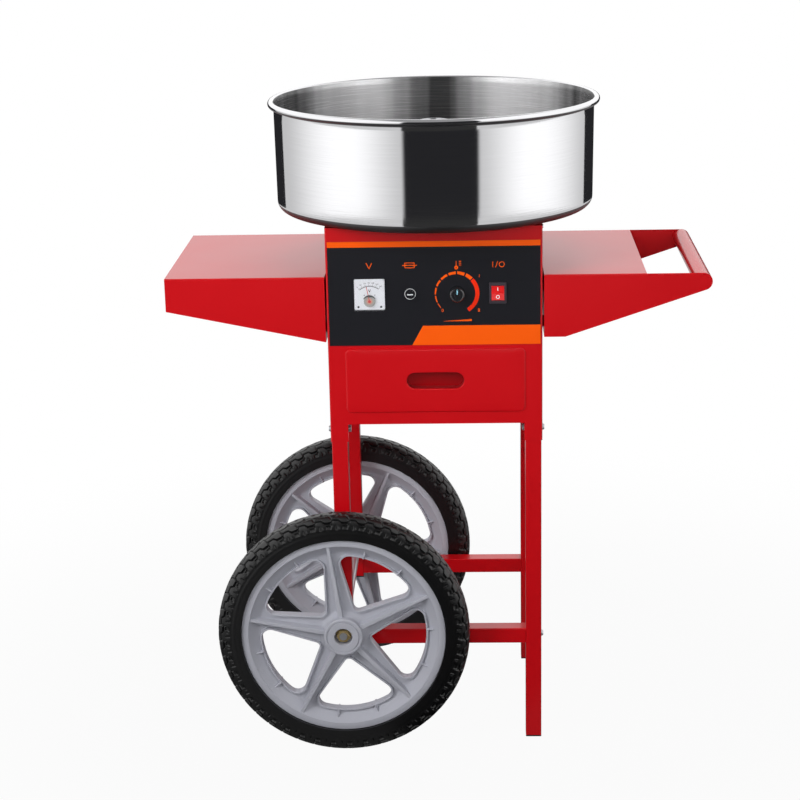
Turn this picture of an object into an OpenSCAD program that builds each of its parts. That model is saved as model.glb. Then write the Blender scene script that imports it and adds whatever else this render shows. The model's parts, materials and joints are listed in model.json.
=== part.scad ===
// Cotton candy cart: a folded steel cabinet on four legs and a pair of wheels, with a spinning
// sugar head in a lift-off bowl, a drawer, a side shelf and a second shelf that ends in a push handle.
// Millimetres. +Z is up, +X runs towards the push handle, and the control panel faces -Y.
// The origin is on the floor, under the middle of the cart's outer box.

/* [Bowl] */
// Diameter over the rolled rim
bowl_d = 520; // [480:5:580]
// Height from the underside to the top of the rim
bowl_h = 171; // [150:1:220]
// Thickness of the bowl's sheet
bowl_wall = 1.2; // [0.8:0.1:2]
// How far the rolled rim stands out from the wall
rim_roll = 9; // [6:0.5:14]
// Outer radius between the wall and the floor of the bowl
bowl_corner_r = 14; // [8:1:30]
// How much the wall draws in from its top to its foot
bowl_taper = 1.6; // [0:0.1:6]
// Hole in the floor of the bowl that passes over the head
bowl_hole_d = 160; // [150:1:190]

/* [Spinner head] */
// Diameter of the head
head_d = 140; // [110:1:148]
// Height of the head's underside above the bowl's underside
head_rise = 64; // [50:1:90]
// Height of the perforated band
head_band_h = 28; // [18:1:40]
// Outer diameter of the sugar funnel
funnel_d = 46; // [34:1:60]
// Height of the sugar funnel above the cap
funnel_h = 30; // [15:1:36]
// Diameter of the drive shaft
shaft_d = 10; // [8:0.5:12]

/* [Motor] */
// Diameter of the motor can
motor_d = 100; // [85:1:120]
// Height of the motor can
motor_h = 80; // [70:1:90]
// Gap between the motor and the divider plate below it
motor_clear = 15; // [8:0.5:30]

/* [Cabinet] */
// Width of the cabinet
cabinet_w = 330; // [310:1:380]
// Depth of the cabinet
cabinet_d = 336; // [310:1:380]
// Height of the cabinet
cabinet_h = 311; // [265:1:360]
// Height of the cabinet's underside above the floor
cabinet_z = 535.5; // [450:0.5:650]
// Thickness of the cabinet's sheet
sheet_t = 1.5; // [1:0.1:2.5]
// Outer bend radius of the cabinet's front corners
corner_r = 2.5; // [2:0.1:5]
// Length of the corner tabs that cover the leg tops
tab_h = 28.5; // [20:0.5:60]

/* [Control panel] */
// Gap between the panel and each side of the cabinet
panel_margin = 3.25; // [2:0.25:20]
// Gap between the panel's upper edge and the deck
panel_drop = 21.5; // [14:0.5:40]
// Thickness of the panel
panel_t = 1; // [0.5:0.1:3]
// Height of the panel's lower edge above the cabinet's underside
panel_rise = 127; // [124:0.5:140]
// Height of the instruments above the panel's lower edge
instrument_rise = 81; // [60:0.5:95]
// Place of the meter, from the cabinet's middle
meter_x = -98.5; // [-115:0.5:-80]
// Place of the fuse holder, from the cabinet's middle
fuse_x = -36.5; // [-50:0.5:-20]
// Place of the heat knob, from the cabinet's middle
knob_x = 35; // [20:0.5:50]
// Place of the switch, from the cabinet's middle
switch_x = 97; // [80:0.5:115]
// Width of the meter
meter_w = 46.5; // [42:0.5:56]
// Height of the meter
meter_h = 47.5; // [42:0.5:56]
// Diameter of the heat knob's skirt
knob_d = 24.5; // [20:0.5:32]
// Height of the heat knob
knob_h = 15; // [12:0.5:24]
// Width of the switch's bezel
switch_w = 26.5; // [25:0.5:34]
// Height of the switch's bezel
switch_h = 33; // [31:0.5:42]

/* [Drawer] */
// Gap between the drawer's front and each side of the cabinet
drawer_margin = 26.5; // [20:0.5:50]
// Gap between the drawer's front and the panel above it
drawer_head_gap = 6.3; // [5:0.1:20]
// Thickness of the drawer's front
drawer_front_t = 2.5; // [1.5:0.1:5]
// Height of the drawer front's lower edge above the cabinet's underside
drawer_rise = 19.7; // [8:0.1:30]
// Gap between the tray and the cabinet's back
drawer_back_gap = 24.5; // [12:0.5:100]
// Width of the finger slot
slot_w = 88; // [60:1:120]
// Height of the finger slot
slot_h = 25.7; // [20:0.1:32]

/* [Shelves] */
// How much shallower both shelves are than the cabinet
shelf_short = 3.5; // [0:0.5:50]
// Depth of both shelves' tops below the deck
shelf_drop = 76.5; // [50:0.5:90]
// Thickness of the shelves' sheet
shelf_t = 1.2; // [0.8:0.1:2.5]
// Gap between the cabinet and each shelf, filled by rubber washers
shelf_gap = 2.5; // [1:0.1:6]
// Length of the left shelf
left_shelf_l = 245.5; // [180:0.5:320]
// Height of the left shelf's flanges at their outer end
left_end_h = 51.6; // [30:0.1:70]
// Height of the left shelf's flanges at the cabinet
left_root_h = 102.4; // [80:0.1:120]
// Length of the right shelf's top
right_shelf_l = 155.5; // [120:0.5:180]
// Height of the right shelf's side plates at the cabinet
right_root_h = 97.5; // [80:0.1:120]
// Length of the side plates' level lower edge
knee_l = 32.5; // [20:0.5:60]
// Distance from the right shelf's root to the middle of the push handle
handle_reach = 241.5; // [225:0.5:300]
// Diameter of the push handle
handle_d = 27; // [20:0.5:34]

/* [Legs] */
// Width of the square legs and bars
leg_w = 25; // [20:0.5:27]
// Wall of the square tubes and of the push handle
tube_wall = 1.5; // [1:0.1:2.5]
// How far the wheel-side legs run below the bars
leg_drop = 5; // [2:0.5:20]
// Thickness of the plastic plugs' flanges
plug_t = 2.2; // [1:0.1:5]

/* [Wheels] */
// Diameter of the tyres
wheel_d = 400; // [360:1:440]
// Width of the tyres
tyre_w = 46; // [40:0.5:50]
// Height of the tyres above the rims
tyre_h = 38; // [32:0.5:50]
// Width of the rims
rim_w = 36; // [30:0.5:38]
// Diameter of the hubs
hub_d = 62; // [50:0.5:66]
// Length of the hubs
hub_w = 48; // [42:0.5:56]
// Number of spokes
spoke_n = 5; // [4:1:6]
// Diameter of the axle
axle_d = 12; // [10:0.5:14]
// Gap between the legs and the hubs, filled by spacers
wheel_gap = 8; // [4:0.5:16]

/* [Hidden] */
$fn = 96;

// Clearances, and how far a cut runs past the face that it opens
overrun = 1;
snug = 0.1;
run_gap = 0.05;
slide_gap = 0.3;

// Fasteners: bolts through the legs, and machine screws elsewhere
bolt_r = 3;
bolt_head_r = 5.5;
bolt_head_h = 3.2;
bolt_nut_af = 10;
bolt_nut_h = 5;
screw_r = 2;
screw_head_r = 4;
screw_head_h = 2.2;
screw_l = 9;
head_taper_share = 0.72;

// Cabinet values
cab_x = cabinet_w / 2;
cab_y = cabinet_d / 2;
deck_z = cabinet_z + cabinet_h;
tab_w = leg_w + 2 * sheet_t;
return_w = 14;
skirt_h = 16;
skirt_inset = 24;
skirt_screw_inset = 36;
skirt_screw_drop = 8;
divider_z = cabinet_z + panel_rise - 2 * sheet_t;
divider_fold = 12;
shaft_hole_r = 22;
collar_h = 12;
bowl_fit = 1.5;
collar_r = bowl_hole_d / 2 - bowl_fit;
collar_wall = 2;
back_screw_inset = 8;
back_screw_rows_share = [0.12, 0.5, 0.88];
vent_w = 52;
vent_h = 4;
vent_pitch = 11;
vent_rows = 7;
vent_drop = 34;
vent_x = 70;

// Cable gland values
gland_x = -104;
gland_rise = 34;
gland_r = 11;
gland_l = 18;
gland_thread_r = 7.6;
gland_bore_r = 4.2;
gland_nut_h = 5;

// Control panel values; depths run from the panel's front face into the cabinet
panel_y = -cab_y - panel_t;
panel_z = cabinet_z + panel_rise;
panel_w = cabinet_w - 2 * panel_margin;
panel_h = cabinet_h - panel_rise - panel_drop;
instrument_z = panel_z + instrument_rise;

meter_base_t = 2.5;
meter_barrel_r = 18;
meter_barrel_l = 24;
meter_corner_r = 1.5;
meter_cover_h = 8.5;
meter_cover_wall = 1.2;
meter_dial_t = 0.6;
meter_pivot_drop = 10;
coil_r = 8.8;
coil_h = 3.6;
coil_window_r = coil_r + slide_gap;
needle_l = 23;
needle_w = 1;
needle_t = 0.5;
needle_hub_r = 2.2;
needle_pin_r = 0.9;
needle_pin_l = 2;
needle_rest_angle = 11;

fuse_flange_r = 8.6;
fuse_flange_t = 2;
fuse_barrel_r = 6;
fuse_barrel_l = 34;
fuse_bore_r = 4.6;
fuse_bore_l = 32;
fuse_cap_r = 6.4;
fuse_cap_h = 4.5;
fuse_stem_l = 9;
fuse_slot_w = 1.6;
fuse_slot_depth = 1.5;
fuse_link_r = 2.6;
fuse_link_l = 20;

control_r = 12;
control_l = 14;
control_bush_r = 3.6;
control_bush_out = 6;
control_nut_af = 11;
control_nut_h = 2.2;
knob_gap = 0.8;
knob_skirt_h = 2.6;
knob_top_share = 0.8;
knob_body_share = 0.86;
knob_face_r_share = 0.62;
knob_face_depth = 0.6;
knob_shaft_r = 3;
knob_shaft_in = 10;
knob_cap_t = 3;
knob_recess_r = 7.5;

bezel_t = 2.5;
bezel_corner_r = 2;
housing_in = 3;
housing_l = 24;
rocker_w = 19.2;
rocker_h = 21.8;
rocker_end = 2.5;
rocker_mid = 0.7;
rocker_back = 4;
rocker_shoulder = 1;
rocker_foot = 5;
rocker_tilt = 9;
rocker_pivot_in = 1;
rocker_pin_r = 1.2;
rocker_pin_l = 2;
rocker_sweep = norm([rocker_h / 2, rocker_end]);
window_w = rocker_w + 2 * slide_gap;
window_h = 2 * (rocker_sweep + slide_gap);
window_depth = rocker_pivot_in + norm([rocker_foot, rocker_back]) + slide_gap;

// Drawer values
drawer_front_w = cabinet_w - 2 * drawer_margin;
drawer_front_h = panel_rise - drawer_rise - drawer_head_gap;
drawer_lap = 6;
drawer_front_corner_r = 8;
drawer_clear = 2;
tray_t = 1.2;
drawer_l = cabinet_d - sheet_t - drawer_back_gap;
opening_w = drawer_front_w - 2 * drawer_lap;
opening_h = drawer_front_h - 2 * drawer_lap;
tray_w = opening_w - 2 * drawer_clear;
tray_h = opening_h - 2 * drawer_clear;
drawer_z = cabinet_z + drawer_rise + drawer_front_h / 2;
tray_z = drawer_z - tray_h / 2;
cup_wall = 1.2;
cup_depth = 16;
runner_t = 1.5;
runner_wall_h = 26;
runner_lap = 12;
runner_guide_h = 12;
runner_l = drawer_l - 2 * sheet_t;

// Shelf values
shelf_bend_r = 2;
shelf_d = cabinet_d - shelf_short;
shelf_z = deck_z - shelf_drop;
shelf_x = cab_x + shelf_gap;
handle_r = handle_d / 2;
washer_r = 9;
washer_inset = 14;
washer_y_share = 0.36;
shelf_nut_h = 3.2;
shelf_nut_af = 7;

// Place of the cabinet's axis, which puts the origin in the middle of the cart's length
left_reach = shelf_x + left_shelf_l;
right_reach = shelf_x + handle_reach + handle_r;
cart_x = (left_reach - right_reach) / 2;

// Frame values
leg_corner_r = 1.6;
leg_bore = leg_w - 2 * tube_wall;
leg_x = cab_x - sheet_t - leg_w / 2;
leg_y = cab_y - sheet_t - leg_w / 2;
axle_r = axle_d / 2;
axle_z = wheel_d / 2;
bar_gap = 4;
bar_z = axle_z - axle_r - bar_gap - leg_w / 2;
bar_end_t = 6;
bolt_reach = 12;
tab_bolt_rise = 18;
tab_bolt_z = cabinet_z - tab_h + tab_bolt_rise;
left_leg_z = bar_z - leg_w / 2 - leg_drop;
plug_l = 14;

// Wheel values
wheel_y = cab_y - sheet_t + wheel_gap + hub_w / 2;
rim_r = axle_z - tyre_h;
rim_lip = 11;
rim_floor = 24;
rim_seat = 4;
rim_seat_w = 25;
rim_seat_slope = 2;
rim_floor_w = 14;
web_t = 8;
window_margin = 7;
window_r = rim_r - rim_floor - window_margin;
window_corner_r = 14;
window_root_r = 8;
window_side = 27.7;
spoke_lean = 7.3;
border_t = 2.5;
border_w = 17;
rib_foot = 14;
rib_tip = 4;
rib_top = 2.5;
rib_h = 14;
gusset_t = 2.5;
gusset_w = 22;
gusset_angle = 13;
hub_groove_inset = 4;
hub_groove_r = hub_d / 2 - hub_groove_inset;
hub_groove_w = 1.2;
hub_groove_depth = 0.8;
recess_r = 14.3;
recess_depth = 16;
bush_r = 10;
bush_l = 14;
spacer_r = 10;
washer_t = 2;
axle_washer_r = 12.5;
axle_nut_af = 19;
axle_nut_h = 8;
axle_tip = 3;
axle_end = wheel_y + hub_w / 2 - recess_depth + slide_gap + washer_t + axle_nut_h + axle_tip;
tyre_bow_share = 0.62;
tyre_steps = 18;
front_spoke_angle = 26;
rear_spoke_angle = -67;

// Machine values, from the deck down to the motor and up to the head
gasket_t = 4;
gasket_w = 20;
bowl_z = deck_z + gasket_t;
shaft_r = shaft_d / 2;
post_r = 6;
post_place = 76;
plate_margin = 12;
plate_t = 3;
motor_r = motor_d / 2;
motor_wall = 3;
motor_end_t = 10;
motor_z = divider_z + sheet_t + motor_clear;
plate_z = motor_z + motor_h;
post_l = deck_z - sheet_t - plate_z - plate_t;
bearing_r = 13;
bearing_h = 8;
rotor_r = 32;
rotor_gap = 0.6;
rotor_l = 40;
slip_ring_r = 12;
slip_body_r = 9.5;
slip_ring_w = 6;
slip_ring_step = 11;
slip_sleeve_l = slip_ring_step + slip_ring_w;
slip_room = post_l - slip_sleeve_l;
slip_rise_share = 0.32;
brush_w = 5;
brush_h = 4;
block_gap = 9;
block_l = 20;
block_w = 26;
block_head_share = 0.16;
block_h = slip_sleeve_l + (slip_rise_share + block_head_share) * slip_room;
head_r = head_d / 2;
head_z = bowl_z + head_rise;
base_t = 6;
base_hub_r = 15;
base_hub_l = 18;
band_t = 1.5;
band_inset = 2;
band_slots = 40;
band_slot_w = 3;
band_slot_margin = 4;
cap_t = 5;
cap_rim_r = 2;
funnel_wall = 2;
funnel_throat_r = 13;
heater_gap = 1.5;
heater_r = head_r - band_inset - band_t - heater_gap;
heater_t = 1.2;
heater_h = head_band_h - 2 * slide_gap;
head_nut_af = 17;
head_nut_h = 7;
head_screw_n = 3;
head_screw_place_share = 0.62;
shaft_top = head_z + base_t + head_nut_h + overrun;
slip_z = plate_z + plate_t + slip_rise_share * slip_room;

// Points of an arc about a centre, both ends included
function arc(centre, r, from, to, steps = 8) =
    [for (i = [0 : steps]) let (a = from + (to - from) * i / steps) centre + r * [cos(a), sin(a)]];

// Outline of a rounded rectangle about the origin
function round_rect(w, h, r) = concat(
    arc([w / 2 - r, h / 2 - r], r, 0, 90),
    arc([r - w / 2, h / 2 - r], r, 90, 180),
    arc([r - w / 2, r - h / 2], r, 180, 270),
    arc([w / 2 - r, r - h / 2], r, 270, 360));

// Outline of a slot with round ends about the origin
function obround(w, h) = concat(
    arc([(w - h) / 2, 0], h / 2, -90, 90, 16),
    arc([(h - w) / 2, 0], h / 2, 90, 270, 16));

// Solids along the three axes
module along_x(from, to) {
    translate([from, 0, 0]) rotate([90, 0, 90]) linear_extrude(to - from) children();
}

module along_y(from, to) {
    translate([0, to, 0]) rotate([90, 0, 0]) linear_extrude(to - from) children();
}

module rod_x(r, from, to) {
    translate([from, 0, 0]) rotate([0, 90, 0]) cylinder(r = r, h = to - from);
}

module rod_y(r, from, to) {
    translate([0, from, 0]) rotate([-90, 0, 0]) cylinder(r = r, h = to - from);
}

module box(from, to) {
    translate(from) cube(to - from);
}

module hexagon(af) {
    circle(d = af / cos(30), $fn = 6);
}

// A round-headed fastener: the shank runs down from z = 0 and the head stands on it
module headed(r, l, head_r, head_h) {
    translate([0, 0, -l]) cylinder(r = r, h = l);
    cylinder(r1 = head_r, r2 = head_r * head_taper_share, h = head_h);
}

module machine_screw(l) {
    headed(screw_r, l, screw_head_r, screw_head_h);
}

module hex_nut(af, h, bore_r) {
    linear_extrude(h) difference() {
        hexagon(af);
        circle(bore_r);
    }
}

// Turns a shape that points up so that it points out of the left (-1) or right (1) side
module facing_x(side) {
    rotate([0, 90 * side, 0]) children();
}

module on_cart() {
    translate([cart_x, 0, 0]) children();
}

// Cabinet

module shell_outline() {
    difference() {
        polygon(concat(
            [[cab_x, cab_y], [-cab_x, cab_y]],
            arc([corner_r - cab_x, corner_r - cab_y], corner_r, 180, 270),
            arc([cab_x - corner_r, corner_r - cab_y], corner_r, 270, 360)));
        translate([sheet_t - cab_x, sheet_t - cab_y]) square([cabinet_w - 2 * sheet_t, cabinet_d]);
    }
}

module corner_squares() {
    for (sx = [-1, 1], sy = [-1, 1])
        translate([sx * (cab_x - tab_w / 2), sy * (cab_y - tab_w / 2)]) square(tab_w, center = true);
}

// Holes that the instruments pass through, in the panel and in the sheet behind it
module instrument_cuts(from, to) {
    translate([meter_x, 0, instrument_z]) rod_y(meter_barrel_r + snug, from, to);
    translate([fuse_x, 0, instrument_z]) rod_y(fuse_barrel_r + snug, from, to);
    translate([knob_x, 0, instrument_z]) rod_y(control_bush_r + snug, from, to);
    translate([switch_x, 0, instrument_z]) along_y(from, to)
        square([switch_w - 2 * housing_in + 2 * snug, switch_h - 2 * housing_in + 2 * snug], center = true);
}

// Screw places: on each side of the deck's skirt, and down both edges of the back
module at_skirt_screws() {
    for (side = [-1, 1], sy = [-1, 1])
        translate([side * cab_x, sy * (cab_y - skirt_screw_inset), deck_z - skirt_screw_drop])
            facing_x(side) children();
}

module at_back_screws() {
    for (side = [-1, 1], share = back_screw_rows_share)
        translate([side * (cab_x - sheet_t - back_screw_inset), cab_y, cabinet_z + share * cabinet_h])
            rotate([-90, 0, 0]) children();
}

module at_tab_bolts() {
    for (side = [-1, 1], sy = [-1, 1])
        translate([side * cab_x, sy * leg_y, tab_bolt_z]) facing_x(side) children();
}

module at_bar_bolts() {
    for (side = [-1, 1], sy = [-1, 1])
        translate([side * (cab_x - sheet_t), sy * leg_y, bar_z]) facing_x(side) children();
}

// Places of one shelf's four fixings, on the cabinet's side face
module at_shelf_screws(side, root_h) {
    for (sy = [-1, 1], drop = [washer_inset, root_h - washer_inset])
        translate([side * cab_x, sy * shelf_d * washer_y_share, shelf_z - drop]) facing_x(side) children();
}

module at_both_shelves() {
    at_shelf_screws(-1, left_root_h) children();
    at_shelf_screws(1, right_root_h) children();
}

module at_posts() {
    for (sx = [-1, 1], sy = [-1, 1])
        translate([sx * post_place, sy * post_place, 0]) children();
}

// A hole through sheets on both sides of a face that points up
module screw_hole(r, depth) {
    translate([0, 0, -depth]) cylinder(r = r + snug, h = depth + overrun);
}

// A level plate that fills the cabinet's inside, front to back
module inner_plate(z) {
    box([sheet_t - cab_x, sheet_t - cab_y, z], [cab_x - sheet_t, cab_y - sheet_t, z + sheet_t]);
}

module cabinet_shell() {
    return_x = cab_x - sheet_t - return_w / 2;
    color("crimson") difference() {
        union() {
            translate([0, 0, cabinet_z]) linear_extrude(cabinet_h) shell_outline();
            translate([0, 0, cabinet_z - tab_h]) linear_extrude(tab_h) intersection() {
                shell_outline();
                corner_squares();
            }
            for (side = [-1, 1])
                translate([side * return_x, cab_y - 1.5 * sheet_t, deck_z - cabinet_h / 2])
                    cube([return_w, sheet_t, cabinet_h - 2 * sheet_t], center = true);
        }
        instrument_cuts(-cab_y - overrun, sheet_t + overrun - cab_y);
        translate([0, 0, drawer_z]) along_y(-cab_y - overrun, sheet_t + overrun - cab_y)
            square([opening_w, opening_h], center = true);
        at_skirt_screws() screw_hole(screw_r, sheet_t + overrun);
        at_back_screws() screw_hole(screw_r, 2 * sheet_t + overrun);
        at_tab_bolts() screw_hole(bolt_r, sheet_t + overrun);
        at_both_shelves() screw_hole(screw_r, sheet_t + overrun);
    }
}

module back_panel() {
    color("crimson") difference() {
        along_y(cab_y - sheet_t, cab_y) {
            translate([sheet_t - cab_x, cabinet_z]) square([cabinet_w - 2 * sheet_t, cabinet_h]);
            for (side = [-1, 1])
                translate([side * (cab_x - (tab_w + sheet_t) / 2), cabinet_z - tab_h / 2])
                    square([tab_w - sheet_t, tab_h], center = true);
        }
        at_back_screws() screw_hole(screw_r, sheet_t + overrun);
        for (side = [-1, 1], row = [0 : vent_rows - 1])
            translate([side * vent_x, 0, deck_z - vent_drop - row * vent_pitch])
                along_y(cab_y - sheet_t - overrun, cab_y + overrun) polygon(obround(vent_w, vent_h));
        translate([gland_x, 0, divider_z + gland_rise])
            rod_y(gland_thread_r + snug, cab_y - sheet_t - overrun, cab_y + overrun);
    }
}

module top_deck() {
    color("crimson") difference() {
        union() {
            inner_plate(deck_z - sheet_t);
            for (side = [-1, 1])
                translate([side * (cab_x - 1.5 * sheet_t), 0, deck_z - skirt_h / 2])
                    cube([sheet_t, cabinet_d - 2 * skirt_inset, skirt_h], center = true);
            translate([0, 0, deck_z - sheet_t]) cylinder(r = collar_r, h = collar_h + sheet_t);
        }
        translate([0, 0, deck_z]) cylinder(r = collar_r - collar_wall, h = collar_h + overrun);
        translate([0, 0, deck_z - sheet_t - overrun]) cylinder(r = shaft_hole_r, h = sheet_t + 2 * overrun);
        at_skirt_screws() screw_hole(screw_r, 2 * sheet_t + overrun);
        translate([0, 0, deck_z]) at_posts() screw_hole(screw_r, sheet_t + overrun);
    }
}

module cabinet_floor() {
    color("firebrick") inner_plate(cabinet_z);
}

// Keeps the drawer apart from the electrics; its folded edges are spot-welded to the sides
module divider_plate() {
    inner_y = cab_y - 2 * sheet_t;
    color("firebrick") {
        box([sheet_t - cab_x, sheet_t - cab_y, divider_z], [cab_x - sheet_t, inner_y, divider_z + sheet_t]);
        for (side = [-1, 1])
            translate([side * (cab_x - 1.5 * sheet_t), 0, divider_z + divider_fold / 2])
                cube([sheet_t, cabinet_d - 2 * skirt_inset, divider_fold], center = true);
    }
}

// An angle on the cabinet's side that carries the tray's edge and guides its side
module runner(side) {
    inner = tray_w / 2 - runner_lap;
    guide = tray_w / 2 + slide_gap;
    low = tray_z - slide_gap - runner_t;
    wall = cab_x - sheet_t;
    color("silver") mirror([side < 0 ? 1 : 0, 0, 0]) along_y(sheet_t - cab_y, sheet_t - cab_y + runner_l)
        polygon([
            [inner, low], [wall, low], [wall, low + runner_wall_h], [wall - runner_t, low + runner_wall_h],
            [wall - runner_t, low + runner_t], [guide + runner_t, low + runner_t],
            [guide + runner_t, low + runner_guide_h], [guide, low + runner_guide_h],
            [guide, low + runner_t], [inner, low + runner_t]]);
}

module drawer_runners() {
    runner(-1);
    runner(1);
}

module control_panel() {
    color("black") difference() {
        translate([-panel_w / 2, panel_y, panel_z]) cube([panel_w, panel_t, panel_h]);
        instrument_cuts(panel_y - overrun, overrun - cab_y);
    }
}

// Screws of the deck's skirt, of the back, of the motor's posts and of the shelves, which have nuts
module case_screws() {
    shelf_face = shelf_gap + shelf_t;
    color("silver") {
        at_skirt_screws() machine_screw(screw_l);
        at_back_screws() machine_screw(screw_l);
        translate([0, 0, deck_z]) at_posts() machine_screw(screw_l);
        translate([0, 0, plate_z]) at_posts() mirror([0, 0, 1]) machine_screw(screw_l);
        at_both_shelves() translate([0, 0, shelf_face]) machine_screw(shelf_face + sheet_t + shelf_nut_h);
        at_both_shelves() translate([0, 0, -sheet_t - shelf_nut_h])
            hex_nut(shelf_nut_af, shelf_nut_h, screw_r + snug);
    }
}

// Body with its dome outside the back, and a locknut inside
module cable_gland() {
    face = cab_y;
    inside = cab_y - sheet_t;
    color("dimgray") translate([gland_x, 0, divider_z + gland_rise]) {
        difference() {
            union() {
                rod_y(gland_thread_r, inside - gland_nut_h - overrun, face);
                rod_y(gland_r, face, face + gland_l / 2);
                translate([0, face + gland_l / 2, 0]) rotate([-90, 0, 0])
                    cylinder(r1 = gland_r, r2 = gland_thread_r, h = gland_l / 2);
            }
            rod_y(gland_bore_r, inside - gland_nut_h - 2 * overrun, face + gland_l + overrun);
        }
        translate([0, inside, 0]) rotate([90, 0, 0]) hex_nut(2 * gland_r, gland_nut_h, gland_thread_r + snug);
    }
}

// Instruments

module at_meter() {
    translate([meter_x, panel_y, instrument_z]) children();
}

module meter_base() {
    color("white") at_meter() {
        along_y(-meter_base_t, 0) polygon(round_rect(meter_w, meter_h, meter_corner_r));
        rod_y(meter_barrel_r, 0, meter_barrel_l);
    }
}

module meter_dial() {
    inset = meter_cover_wall + snug;
    color("white") at_meter() along_y(-meter_base_t - meter_dial_t, -meter_base_t) difference() {
        square([meter_w - 2 * inset, meter_h - 2 * inset], center = true);
        translate([0, -meter_pivot_drop]) circle(coil_window_r);
        translate([-coil_window_r, -meter_h]) square([2 * coil_window_r, meter_h - meter_pivot_drop]);
    }
}

// The moving-coil works that show below the dial
module meter_coil() {
    color("peru") at_meter() translate([0, 0, -meter_pivot_drop]) difference() {
        rod_y(coil_r, -meter_base_t - coil_h, -meter_base_t);
        rod_y(needle_pin_r + run_gap, -meter_base_t - coil_h - overrun, needle_pin_l - meter_base_t - coil_h);
    }
}

module meter_cover() {
    deep = meter_cover_h - meter_cover_wall;
    color("white", 0.3) at_meter() translate([0, -meter_base_t, 0]) difference() {
        along_y(-meter_cover_h, 0) polygon(round_rect(meter_w, meter_h, meter_corner_r));
        along_y(-deep, overrun)
            square([meter_w - 2 * meter_cover_wall, meter_h - 2 * meter_cover_wall], center = true);
    }
}

module meter_needle() {
    front = -meter_base_t - coil_h - slide_gap;
    color("firebrick") at_meter() translate([0, 0, -meter_pivot_drop]) rotate([0, -needle_rest_angle, 0]) {
        along_y(front - needle_t, front) {
            circle(needle_hub_r);
            translate([-needle_w / 2, 0]) square([needle_w, needle_l]);
        }
        rod_y(needle_pin_r, front, front + needle_pin_l);
    }
}

module at_fuse() {
    translate([fuse_x, panel_y, instrument_z]) children();
}

module fuse_holder() {
    color("black") at_fuse() difference() {
        union() {
            rod_y(fuse_flange_r, -fuse_flange_t, 0);
            rod_y(fuse_barrel_r, -fuse_flange_t, fuse_barrel_l);
        }
        rod_y(fuse_bore_r, -fuse_flange_t - overrun, fuse_bore_l);
    }
}

// The slotted cap, and the glass fuse that its stem carries
module fuse_cap() {
    front = -fuse_flange_t - slide_gap - fuse_cap_h;
    stem_end = front + fuse_cap_h + fuse_stem_l;
    color("black") at_fuse() difference() {
        union() {
            rod_y(fuse_cap_r, front, front + fuse_cap_h);
            rod_y(fuse_bore_r - run_gap, front, stem_end);
        }
        box([-fuse_cap_r - overrun, front - overrun, -fuse_slot_w / 2],
            [fuse_cap_r + overrun, front + fuse_slot_depth, fuse_slot_w / 2]);
    }
    color("lightgray") at_fuse() rod_y(fuse_link_r, stem_end + snug, stem_end + fuse_link_l);
}

module at_knob() {
    translate([knob_x, panel_y, instrument_z]) children();
}

// The dial's controller behind the sheet, with its threaded bush and nut
module heat_control() {
    back = panel_t + sheet_t;
    color("slategray") at_knob() {
        difference() {
            union() {
                rod_y(control_r, back, back + control_l);
                rod_y(control_bush_r, -control_bush_out, back);
            }
            rod_y(knob_shaft_r + run_gap, -control_bush_out - overrun, back + knob_shaft_in);
        }
        rotate([90, 0, 0]) hex_nut(control_nut_af, control_nut_h, control_bush_r + snug);
    }
}

module knob_shaft() {
    back = panel_t + sheet_t;
    color("silver") at_knob()
        rod_y(knob_shaft_r, knob_cap_t - knob_gap - knob_h, back + knob_shaft_in - slide_gap);
}

module heat_knob() {
    r = knob_d / 2;
    recess = control_bush_out - knob_gap + slide_gap;
    color("black") at_knob() translate([0, -knob_gap, 0]) rotate([90, 0, 0]) difference() {
        rotate_extrude() polygon([
            [0, 0], [r, 0], [r, knob_skirt_h], [r * knob_body_share, knob_skirt_h],
            [r * knob_top_share, knob_h], [r * knob_face_r_share, knob_h],
            [r * knob_face_r_share, knob_h - knob_face_depth], [0, knob_h - knob_face_depth]]);
        translate([0, 0, -overrun]) cylinder(r = knob_recess_r, h = recess + overrun);
        cylinder(r = knob_shaft_r + snug, h = knob_h - knob_cap_t + snug);
    }
}

module at_switch() {
    translate([switch_x, panel_y, instrument_z]) children();
}

module switch_body() {
    pin_y = rocker_pivot_in - bezel_t;
    pin_x = rocker_w / 2 + rocker_pin_l + slide_gap;
    color("black") at_switch() difference() {
        union() {
            along_y(-bezel_t, 0) polygon(round_rect(switch_w, switch_h, bezel_corner_r));
            along_y(0, housing_l)
                square([switch_w - 2 * housing_in, switch_h - 2 * housing_in], center = true);
        }
        along_y(-bezel_t - overrun, window_depth - bezel_t) square([window_w, window_h], center = true);
        translate([0, pin_y, 0]) rod_x(rocker_pin_r + run_gap, -pin_x, pin_x);
    }
}

// The rocker lies with its upper half pressed in
module switch_rocker() {
    pin_x = rocker_w / 2 + rocker_pin_l;
    color("red") at_switch() translate([0, rocker_pivot_in - bezel_t, 0]) rotate([-rocker_tilt, 0, 0]) {
        along_x(-rocker_w / 2, rocker_w / 2) polygon([
            [-rocker_end, -rocker_h / 2], [-rocker_mid, 0], [-rocker_end, rocker_h / 2],
            [rocker_shoulder, rocker_h / 2], [rocker_back, rocker_foot],
            [rocker_back, -rocker_foot], [rocker_shoulder, -rocker_h / 2]]);
        rod_x(rocker_pin_r, -pin_x, pin_x);
    }
}

// Legs, bars and axle

module leg(sx, sy, low) {
    place = [sx * leg_x, sy * leg_y];
    color("crimson") difference() {
        translate([place.x, place.y, low]) linear_extrude(cabinet_z - low) difference() {
            polygon(round_rect(leg_w, leg_w, leg_corner_r));
            square(leg_bore, center = true);
        }
        for (z = [tab_bolt_z, bar_z])
            translate([place.x, place.y, z]) rod_x(bolt_r + snug, -leg_w, leg_w);
        if (sx < 0)
            translate([place.x, place.y, axle_z]) rod_y(axle_r + snug, -leg_w, leg_w);
    }
}

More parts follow.
